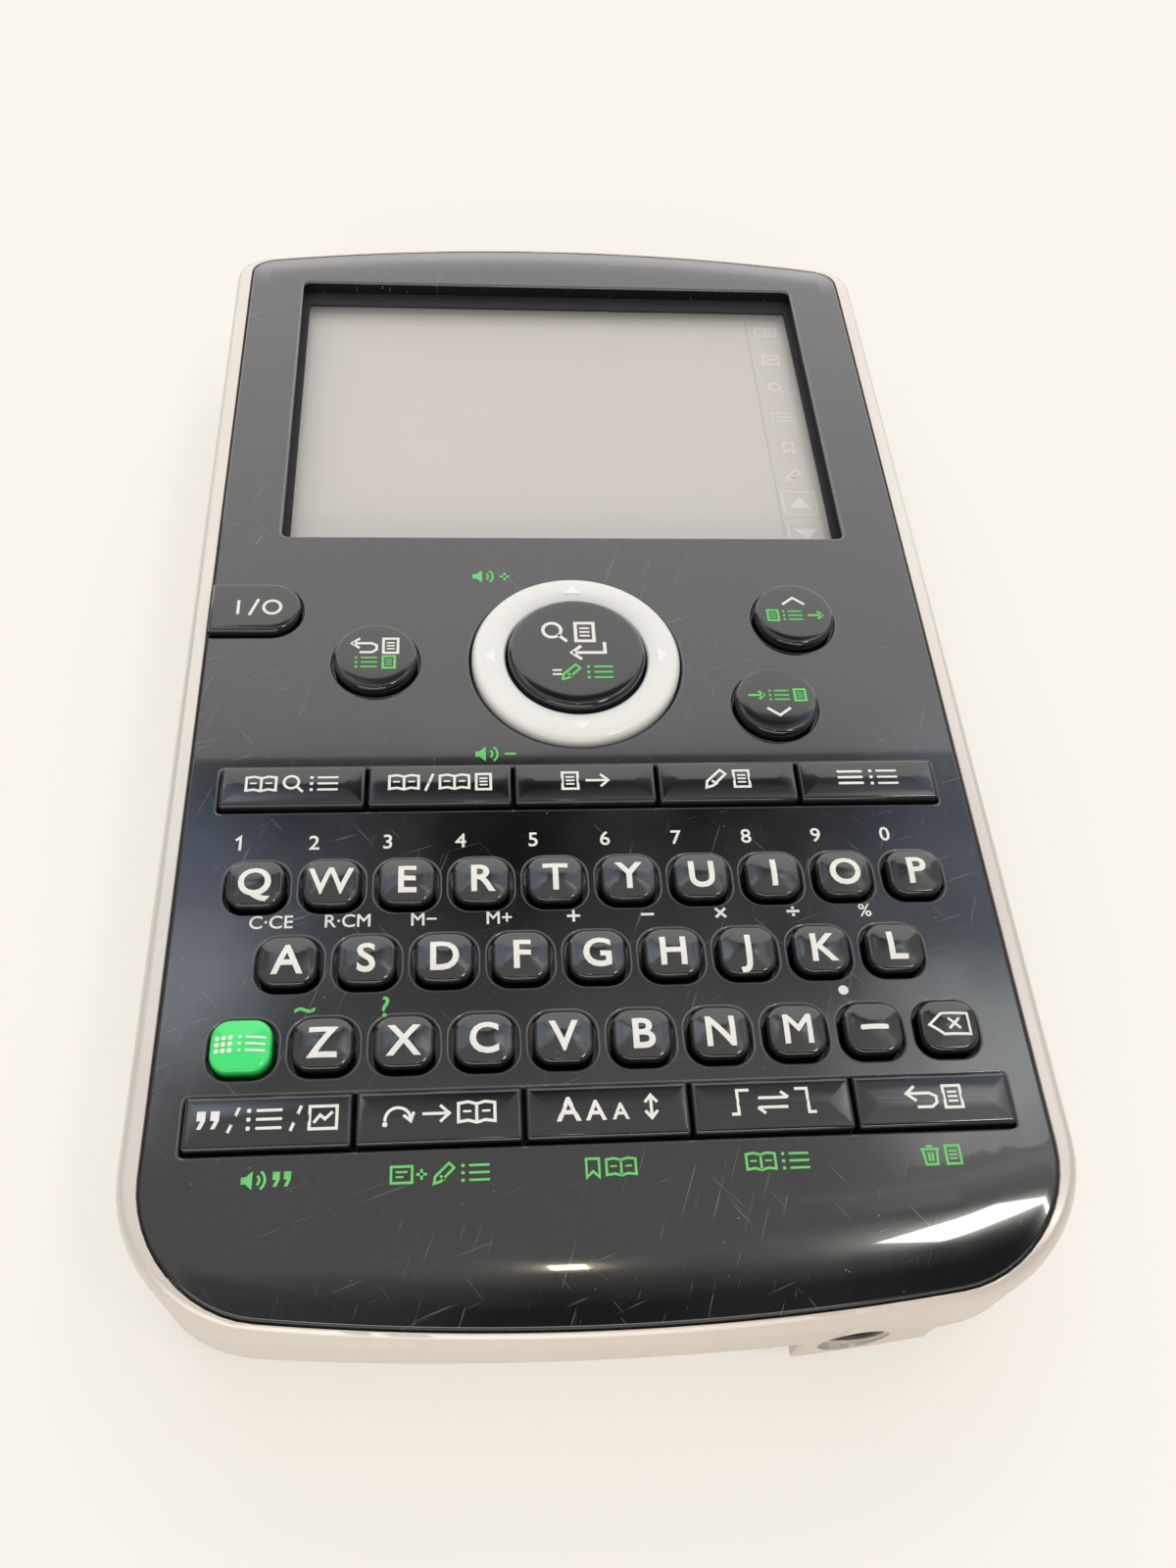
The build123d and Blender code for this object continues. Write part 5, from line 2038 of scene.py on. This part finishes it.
@dataclass
class PowerKey(Part):
    """The D-shaped key at the panel's left edge."""

    low: float = 14.8
    flange: float = 15.4
    over_ledge: float = 16.1
    top: float = 17.75
    under_left: float = -33.05
    left: float = -34.65
    edge_round: float = 0.35
    foot: float = 0.5
    plateau: float = 0.9
    sign: Point2 = (-30.2, -0.1)

    def build(self) -> list[Piece]:
        """Models the key.

        Returns:
            The finished piece.
        """
        def level(left: float, grow: float, height: float) -> list[Point3]:
            """One loop of the key."""
            return [(x, y, height) for x, y in self.layout.power_outline(left, grow)]

        gap, under = self.layout.cap_gap, self.under_left
        loops = [level(under, self.foot, self.low), level(under, self.foot, self.flange),
                 level(under, -gap, self.flange), level(under, -gap, self.over_ledge),
                 level(self.left, -gap, self.over_ledge)]
        for inset, rise in quarter_round(self.edge_round, 5):
            loops.append(level(self.left + inset, -gap - inset, self.top - self.edge_round + rise))
        loops.append(level(self.left + self.plateau, -gap - self.plateau, self.top + 0.015))
        key = loft("power_key_cap", loops)
        shade(key)
        x, rise = self.sign
        place = (x, self.layout.power_line + rise)
        signs = self.printer.draw(Picture.SWITCH, place, Ink.CREAM, self.top + 0.04, 0.95, 0.28)
        return [self.done(key, "black_gloss_key", "power_key", "gloss_key", "power_key", signs=signs)]


# Panel printing, display and the small pieces -----------------------------------------------


@dataclass
class PanelPrinting(Part):
    """Digits, signs and the green second meanings that are printed on the panel."""

    level: float = 17.02
    digit_line: float = -22.1
    digit_height: float = 1.35
    sign_line: float = -29.7
    sign_height: float = 1.15
    upper_shift: float = -1.7
    small_sign_growth: float = 1.35
    calculator_signs: tuple[str, ...] = ("C·CE", "R·CM", "M−", "M+", "+", "−", "×", "÷", "%")
    green_marks: tuple[tuple[str, Point2, float], ...] = (
        ("~", (-23.5, -37.4), 2.0), ("?", (-17.2, -37.5), 1.7))
    dot: tuple[float, int, Point2] = (0.42, 20, (20.2, -37.1))
    green_line: float = -51.1
    green_spread: float = 0.995
    green_row: tuple[tuple[Picture, ...], ...] = (
        (Picture.LOUD, Picture.QUOTE), (Picture.CARD, Picture.PENCIL, Picture.LIST),
        (Picture.MARKER, Picture.BOOK), (Picture.BOOK, Picture.LIST), (Picture.BIN, Picture.PAGE),
    )
    volume: tuple[tuple[float, Picture], ...] = ((8.5, Picture.PLUS), (-13.0, Picture.MINUS))

    def one(self, x: float) -> Piece:
        """The digit 1 as a plain stroke with a flag.

        Args:
            x: its place across.

        Returns:
            The digit.
        """
        tall = self.digit_height / 2
        points = [(x - 0.36, self.digit_line + 0.5 * tall), (x + 0.02, self.digit_line + tall),
                  (x + 0.02, self.digit_line - tall)]
        return self.printer.stroke(points, 0.23, Ink.CREAM, self.level)

    def signs(self) -> list[Piece]:
        """All the cream and green signs that lie on the panel.

        Returns:
            The signs.
        """
        places = self.layout.letter_places()
        printer = self.printer
        made = []
        for name, digit in zip(self.layout.rows[0], "1234567890"):
            x = places[name][0] + self.upper_shift
            made.append(self.one(x) if digit == "1" else printer.glyph(
                digit, (x, self.digit_line), self.digit_height, Ink.CREAM, self.level))
        for name, sign in zip(self.layout.rows[1], self.calculator_signs):
            x = places[name][0] + self.upper_shift
            tall = self.sign_height * (self.small_sign_growth if sign in "+−×÷" else 1.0)
            made.append(printer.glyph(sign, (x, self.sign_line), tall, Ink.CREAM, self.level))
        for sign, place, tall in self.green_marks:
            made.append(printer.glyph(sign, place, tall, Ink.GREEN, self.level))
        made.append(printer.shape(circle(*self.dot), Ink.CREAM, self.level))
        return made

    def pictograms(self) -> list[Piece]:
        """The small green pictograms below the lower keys, and the volume signs by the ring.

        Returns:
            The signs.
        """
        made = []
        for column, pictures in enumerate(self.green_row):
            place = ((column - 2) * self.layout.bar_pitch * self.green_spread, self.green_line)
            made += self.printer.row(pictures, place, Ink.GREEN, self.level, 0.74, 0.19)
        for y, sign in self.volume:
            made += self.printer.row((Picture.LOUD, sign), (-7.9, y), Ink.GREEN, self.level, 0.85, 0.2)
        return made

    def build(self) -> list[Piece]:
        """Draws all the printing as one piece and returns it finished."""
        printing = join([*self.signs(), *self.pictograms()])
        printing.name = "panel_printing"
        return [finish_piece(printing, "housing", "black_panel")]


@dataclass
class Display(Part):
    """The gasket, the touch panel and the display with its strip of signs."""

    middle: float = 34.305
    touch_margin: float = 1.3
    touch_levels: Point2 = (14.16, 15.19)
    lcd_margin: float = 0.9
    lcd_levels: Point2 = (11.5, 14.1)
    gasket_levels: Point2 = (15.2, 15.49)
    clear: tuple[float, float, float, float] = (-28.15, 28.15, 14.03, 52.53)
    strip: float = 23.6
    strip_middle: float = 25.9
    strip_lines: tuple[float, ...] = (50.6, 45.6, 40.6, 35.6, 30.6, 26.2)
    arrow_lines: tuple[tuple[float, int], ...] = ((21.9, 1), (17.3, -1))

    def gasket(self) -> Piece:
        """The thin foam frame round the touch panel.

        Returns:
            The finished piece.
        """
        left, right, low, high = self.clear
        width, depth = (size + 2 * self.touch_margin for size in self.layout.window)
        outer = soft_box(width, depth, 0.6, (0.0, self.middle), 6)
        inner = soft_box(right - left, high - low, 0.25, ((left + right) / 2, (low + high) / 2), 6)
        bottom, top = self.gasket_levels
        loops = [[(x, y, bottom) for x, y in outer], [(x, y, top) for x, y in outer],
                 [(x, y, top) for x, y in inner], [(x, y, bottom) for x, y in inner]]
        frame = loft("window_gasket_foam", loops, ring=True)
        smooth(frame)
        return self.done(frame, "gasket_foam", "housing", "gasket", "window_gasket")

    def sheet(self, name: str, margin: float, levels: Point2, edge: float) -> Piece:
        """A flat plate with eased edges.

        Args:
            name: its name.
            margin: how far it reaches beyond the window on each side.
            levels: the heights of its underside and its top.
            edge: how far its edges are eased.

        Returns:
            The plate.
        """
        low, high = levels
        width, depth = (size + 2 * margin for size in self.layout.window)

        def loop(inset: float, height: float) -> list[Point3]:
            """One loop of the plate."""
            outline = soft_box(width - 2 * inset, depth - 2 * inset, 0.5, (0.0, self.middle), 5)
            return [(x, y, height) for x, y in outline]

        levels = ((edge, low), (0.0, low + edge), (0.0, high - edge), (edge, high))
        plate = loft(name, [loop(inset, height) for inset, height in levels])
        smooth(plate, 20.0)
        return plate

    def strip_signs(self) -> list[Piece]:
        """The faint signs at the right of the display, and the line beside them.

        Returns:
            The signs.
        """
        level = self.lcd_levels[1] + 0.03
        printer, x = self.printer, self.strip_middle
        made = [printer.box((self.strip, self.middle - 0.9), (0.12, 38.0), Ink.LINE, level)]
        pictures = (Picture.BOOK, Picture.CHART, Picture.GLASS, Picture.LIST, Picture.MARKER,
                    Picture.PENCIL)
        for picture, y in zip(pictures, self.strip_lines):
            made += printer.draw(picture, (x, y), Ink.PALE, level, 0.85, 0.24)
        for y, sign in self.arrow_lines:
            points = [(x - 1.25, y - sign * 0.75), (x + 1.25, y - sign * 0.75), (x, y + sign * 0.95)]
            made.append(printer.shape(points[::sign], Ink.PALE, level))
            frame = soft_box(3.6, 3.5, 0.3, (x, y), 3)
            made.append(printer.stroke(frame, 0.14, Ink.PALE, level, closed=True))
        return made

    def build(self) -> list[Piece]:
        """Models the display's pieces.

        Returns:
            The finished pieces.
        """
        touch = self.sheet("touch_panel_film", self.touch_margin, self.touch_levels, 0.12)
        screen = self.sheet("display_module", self.lcd_margin, self.lcd_levels, 0.2)
        return [
            self.gasket(),
            self.done(touch, "touch_film", "housing", "touch_glass", "touch_panel"),
            self.done(screen, "display_face", "housing", "display", "lcd_module", signs=self.strip_signs()),
        ]


@dataclass
class Stylus(Part):
    """The plastic stylus: a tapered tip, a slim barrel and a ribbed head."""

    tip: float = -10.65
    end: float = 59.35
    radius: float = 1.85
    head_radius: float = 2.2
    head_length: float = 5.0
    tip_length: float = 3.0
    point: float = 0.5

    def profile(self) -> list[Point2]:
        """The stylus' profile.

        Returns:
            Pairs of radius and distance, from the tip to the head's rounded end.
        """
        head, shoulder = self.end - self.head_length, self.tip + self.tip_length
        points = [(0.1, self.tip), (0.32, self.tip + 0.06), (self.point, self.tip + 0.35),
                  (self.radius - 0.2, shoulder - 0.2), (self.radius, shoulder), (self.radius, head - 0.1),
                  (self.head_radius - 0.15, head), (self.head_radius, head + 0.15)]
        for groove in range(3):
            start = head + 1.4 + groove * 0.8
            points += [(self.head_radius, start), (self.head_radius - 0.14, start + 0.15),
                       (self.head_radius - 0.14, start + 0.3), (self.head_radius, start + 0.45)]
        for inset, rise in quarter_round(0.5, 5):
            points.append((self.head_radius - inset, self.end - 0.5 + rise))
        points.append((0.2, self.end))
        return points

    def build(self) -> list[Piece]:
        """Models the stylus and returns it finished."""
        stick = turned("stylus_stick", self.profile(), 40, self.layout.stylus, False)
        shade(stick, 30.0)
        return [self.done(stick, "stylus_plastic", "stylus", "stylus_plastic", "stylus")]


@dataclass
class EarphoneJack(Part):
    """The jack: its body and the nose with the bore."""

    nose_front: float = -61.92
    body_front: float = -57.95
    body_back: float = -46.95
    nose_radius: float = 2.4
    bore_radius: float = 1.75
    bore_end: float = -49.4
    body_width: float = 6.4
    body_levels: Point2 = (5.4, 12.2)

    def build(self) -> list[Piece]:
        """Models the jack.

        Returns:
            The finished piece.
        """
        place = self.layout.jack
        left, right = place[0] - self.body_width / 2, place[0] + self.body_width / 2
        front, back = self.body_front, self.body_back
        outline = [(left, front), (right, front), (right, back), (left, back)]
        body = prism("earphone_jack_body", outline, *self.body_levels)
        nose = [(self.nose_radius, front + 1.0), (self.nose_radius, self.nose_front + 0.15),
                (self.nose_radius - 0.15, self.nose_front)]
        combine(body, turned("nose", nose, 48, place, False), "UNION")
        bore = [(self.bore_radius, self.bore_end), (self.bore_radius, self.nose_front + 0.2),
                (self.bore_radius + 0.2, self.nose_front), (self.bore_radius + 0.2, -70.0)]
        combine(body, turned("bore", bore, 48, place, False), "DIFFERENCE")
        round_edges(body, 0.1, 1, 60.0)
        smooth(body)
        return [self.done(body, "jack_plastic", "housing", "jack_plastic", "earphone_jack")]


@dataclass
class CaseScrews(Part):
    """Four pan-head screws with a cross recess."""

    places: tuple[Point2, ...] = ((-25.5, 58.4), (25.5, 58.4), (-32.6, -44.0), (32.6, -44.0))
    head_radius: float = 1.45
    head_levels: Point2 = (1.6, 2.5)
    shank_radius: float = 0.78
    shank_end: float = 9.45
    recess: Point2 = (1.5, 0.34)

    def master(self) -> Piece:
        """One screw at the origin with its head downwards.

        Returns:
            The screw.
        """
        low, high = self.head_levels
        profile = [(0.1, low), (0.9, low), (self.head_radius - 0.15, low + 0.12),
                   (self.head_radius, low + 0.4), (self.head_radius, high), (self.shank_radius, high)]
        turns = 8
        pitch = (self.shank_end - 0.6 - high - 0.4) / turns
        for turn in range(turns):
            start = high + 0.4 + turn * pitch
            profile += [(self.shank_radius - 0.14, start), (self.shank_radius, start + pitch / 2)]
        profile += [(self.shank_radius - 0.2, self.shank_end - 0.4), (0.1, self.shank_end)]
        screw = turned("screw", profile, 32)
        length, width = self.recess
        for size in ((length, width), (width, length)):
            slot = prism("slot", soft_box(*size, 0.05, (0.0, 0.0), 2), low - 1, low + 0.5)
            combine(screw, slot, "DIFFERENCE")
        return screw

    def build(self) -> list[Piece]:
        """Models the four screws as one piece and returns it finished."""
        master = self.master()
        screws = join([copy_of(master, "case_screws_steel", (*place, 0.0)) for place in self.places])
        bpy.data.objects.remove(master)
        smooth(screws, 35.0)
        return [self.done(screws, "screw_steel", "housing", "screw_steel", "case_screws")]


@dataclass
class InnerParts(Part):
    """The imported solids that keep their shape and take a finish."""

    dress: dict[str, str] = field(default_factory=lambda: {
        "main_board": "green_board",
        "keypad_mat": "silicone_rubber",
        "speaker": "speaker_steel",
        "battery_cells": "cell_can",
        "battery_contacts": "contact_nickel",
    })

    def build(self) -> list[Piece]:
        """Gives each of them its material and returns them."""
        nodes = self.frame["nodes"]
        return [wear(nodes[node], self.finishes[finish]) for node, finish in self.dress.items()]


# Studio -------------------------------------------------------------------------------------


@dataclass(frozen=True)
class Glow:
    """A soft patch of light on the room's ceiling, at a direction from the object."""

    centre: Point3
    near: float
    far: float
    colour: Colour


@dataclass(frozen=True)
class Lamp:
    """A rectangular soft light: its size and place, what it faces, its radiance and its colour."""

    name: str
    size: Point2
    place: Point3
    aim: Point3
    radiance: float
    colour: Colour

    def light(self) -> Piece:
        """Sets up the light.

        Returns:
            The light.
        """
        data = bpy.data.lights.new(self.name, "AREA")
        data.shape = "RECTANGLE"
        data.size, data.size_y = self.size
        data.energy = self.radiance * math.pi * self.size[0] * self.size[1]
        data.color = self.colour
        light = bpy.data.objects.new(self.name, data)
        bpy.context.scene.collection.objects.link(light)
        light.location = self.place
        light.rotation_euler = (Vector(self.aim) - Vector(self.place)).to_track_quat("-Z", "Y").to_euler()
        return light


# A low source, a broad bright one behind the object and two small ones under the ceiling.
MIDDLE = (0.0, 0.0, 0.0)
WINDOW_HEIGHT = 1.1 * math.tan(math.radians(55.7)) - 0.05
WINDOW_MIDDLE = 0.05 + WINDOW_HEIGHT / 2
LAMPS = (
    Lamp("window_light", (2.6, WINDOW_HEIGHT), (0.15, 1.1, WINDOW_MIDDLE), (0.15, 0.0, WINDOW_MIDDLE), 1.62,
         (1.0, 0.985, 0.965)),
    Lamp("front_light", (1.4, 0.4), (-0.2, -1.1, 0.45), MIDDLE, 2.9, (1.0, 0.94, 0.86)),
    Lamp("ceiling_lamp", (0.17, 0.09), (0.42, -0.29, 0.89), MIDDLE, 24.0, (1.0, 0.98, 0.9)),
    Lamp("small_lamp", (0.035, 0.035), (0.05, -0.34, 0.92), MIDDLE, 36.0, (1.0, 0.88, 0.6)),
)


@dataclass
class Studio:
    """The pale floor, the room that the gloss reflects and the camera, in metres.

    A fade is the two ends of a value's range and what they become.
    """

    floor_size: float = 1.6
    floor_colour: Colour = linear(252, 248, 241)
    floor_glow: float = 0.55
    camera_place: Point3 = (-0.01034, -0.08293, 0.11683)
    camera_rows: tuple[Point3, Point3] = ((0.996, -0.0591, 0.0668), (-0.0121, -0.8315, -0.5555))
    lens: float = 30.866
    sensor: float = 36.0
    nearest: float = 0.005
    black: Colour = (0.0, 0.0, 0.0)
    ceiling: Colour = (0.78, 0.77, 0.75)
    low_room: Colour = (0.42, 0.4, 0.37)
    far_wall: Colour = (0.04, 0.04, 0.04)
    unevenness: Fade = (0.3, 0.7, -0.05, 0.05)
    ahead_fade: Fade = (0.33, 0.53, 1.0, 0.05)
    behind_fade: Fade = (-0.58, -0.28, 0.1, 1.0)
    low_fade: Fade = (0.62, 0.35, 0.0, 1.0)
    wall_fade: Fade = (0.53, 0.57, 0.0, 1.0)
    glows: tuple[Glow, ...] = (
        Glow((-0.30, 0.49, 0.82), 0.13, 0.22, (0.7, 0.88, 1.2)),
        Glow((-0.23, 0.40, 0.89), 0.02, 0.08, (1.1, 1.15, 1.15)),
        Glow((0.43, 0.46, 0.78), 0.10, 0.22, (0.6, 0.72, 0.95)),
        Glow((0.36, 0.36, 0.86), 0.03, 0.10, (1.7, 1.75, 1.65)),
        Glow((0.45, 0.14, 0.88), 0.08, 0.24, (0.8, 0.78, 0.76)),
    )

    def floor(self) -> None:
        """A large plain floor whose own colour shows to the camera, with the object's shadow on it."""
        deselect_all()
        bpy.ops.mesh.primitive_plane_add(size=self.floor_size)
        ground = bpy.context.object
        ground.name = "studio_floor"
        material = bpy.data.materials.new("studio_paper")
        material.use_nodes = True
        material.node_tree.nodes.clear()
        sheet = Sheet(material.node_tree)
        matt = sheet.add("ShaderNodeBsdfDiffuse", {"Color": (*self.floor_colour, 1.0)})
        seen_colour = [channel * (1 - self.floor_glow) for channel in self.floor_colour]
        seen = sheet.add("ShaderNodeBsdfDiffuse", {"Color": (*seen_colour, 1.0)})
        lights = {"Color": (*self.floor_colour, 1.0), "Strength": self.floor_glow}
        glow = sheet.add("ShaderNodeEmission", lights)
        path = sheet.add("ShaderNodeLightPath")
        camera = sheet.math("MAXIMUM", path.outputs["Is Camera Ray"], path.outputs["Is Transmission Ray"])
        both = sheet.add("ShaderNodeAddShader", {0: seen.outputs[0], 1: glow.outputs[0]})
        lit = sheet.add("ShaderNodeMixShader", {0: camera, 1: matt.outputs[0], 2: both.outputs[0]})
        sheet.add("ShaderNodeOutputMaterial", {"Surface": lit.outputs[0]})
        wear(ground, material)

    def room(self) -> None:
        """A pale ceiling that darkens to the front and behind the viewer, with cool light at both sides."""
        world = bpy.data.worlds.new("room")
        bpy.context.scene.world = world
        world.use_nodes = True
        world.node_tree.nodes.clear()
        sheet = Sheet(world.node_tree)
        place = sheet.add("ShaderNodeTexCoord").outputs["Generated"]
        x, y, z = sheet.add("ShaderNodeSeparateXYZ", {"Vector": place}).outputs
        shift = sheet.spread(sheet.noise(place, 6.0, 4.0), *self.unevenness)
        ahead = sheet.math("ADD", y, shift)
        behind = sheet.math("SUBTRACT", ahead, sheet.math("MULTIPLY", x, 0.3))
        fades = (sheet.spread(ahead, *self.ahead_fade), sheet.spread(behind, *self.behind_fade))
        over = sheet.math("MULTIPLY", *fades)
        colour = sheet.blend(over, self.black, self.ceiling)
        for patch in self.glows:
            away = sheet.vectors("DISTANCE", place, patch.centre).outputs["Value"]
            share = sheet.spread(sheet.math("ADD", away, shift), patch.near, patch.far, 1.0, 0.0)
            glow = sheet.blend(share, self.black, patch.colour)
            colour = sheet.vectors("ADD", colour, glow).outputs["Vector"]
        colour = sheet.blend(sheet.spread(z, *self.low_fade), colour, self.low_room)
        colour = sheet.blend(sheet.spread(y, *self.wall_fade), colour, self.far_wall)
        background = sheet.add("ShaderNodeBackground", {"Color": colour, "Strength": 1.0})
        sheet.add("ShaderNodeOutputWorld", {"Surface": background.outputs[0]})

    def camera(self) -> None:
        """The camera at the viewing angle, for a frame of 1200 by 1600."""
        data = bpy.data.cameras.new("view")
        data.sensor_fit = "AUTO"
        data.sensor_width = self.sensor
        data.lens = self.lens
        data.clip_start = self.nearest
        view = bpy.data.objects.new("view", data)
        bpy.context.scene.collection.objects.link(view)
        across, down = (Vector(row).normalized() for row in self.camera_rows)
        ahead = across.cross(down).normalized()
        down = ahead.cross(across)
        turn = Matrix((across, -down, -ahead)).transposed()
        view.matrix_world = Matrix.Translation(self.camera_place) @ turn.to_4x4()
        bpy.context.scene.camera = view

    def build(self) -> None:
        """Sets up the floor, the room, the lights, the camera and the plain view."""
        self.floor()
        self.room()
        for lamp in LAMPS:
            lamp.light()
        self.camera()
        bpy.context.scene.view_settings.view_transform = "Standard"


def report(*pieces: Piece) -> None:
    """Logs each finished piece with its faces."""
    for piece in pieces:
        LOG.info("%-28s %6d faces", piece.name, len(piece.data.polygons))


def main() -> None:
    """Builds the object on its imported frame, then the studio round it."""
    logging.basicConfig(level=logging.INFO, format="%(name)s: %(message)s")
    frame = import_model()
    finishes = Finishes(Effects())
    shared = (frame, SlabForm(), Layout(), finishes, Printer(finishes))
    parts = (FrontPanel, RimFrame, RearShells, LetterKeys, FunctionBars, RoundKeys, DirectionPad, PowerKey,
             PanelPrinting, Display, Stylus, EarphoneJack, CaseScrews, InnerParts)
    for part in parts:
        report(*part(*shared).build())
    Studio().build()


if __name__ == "__main__":
    main()
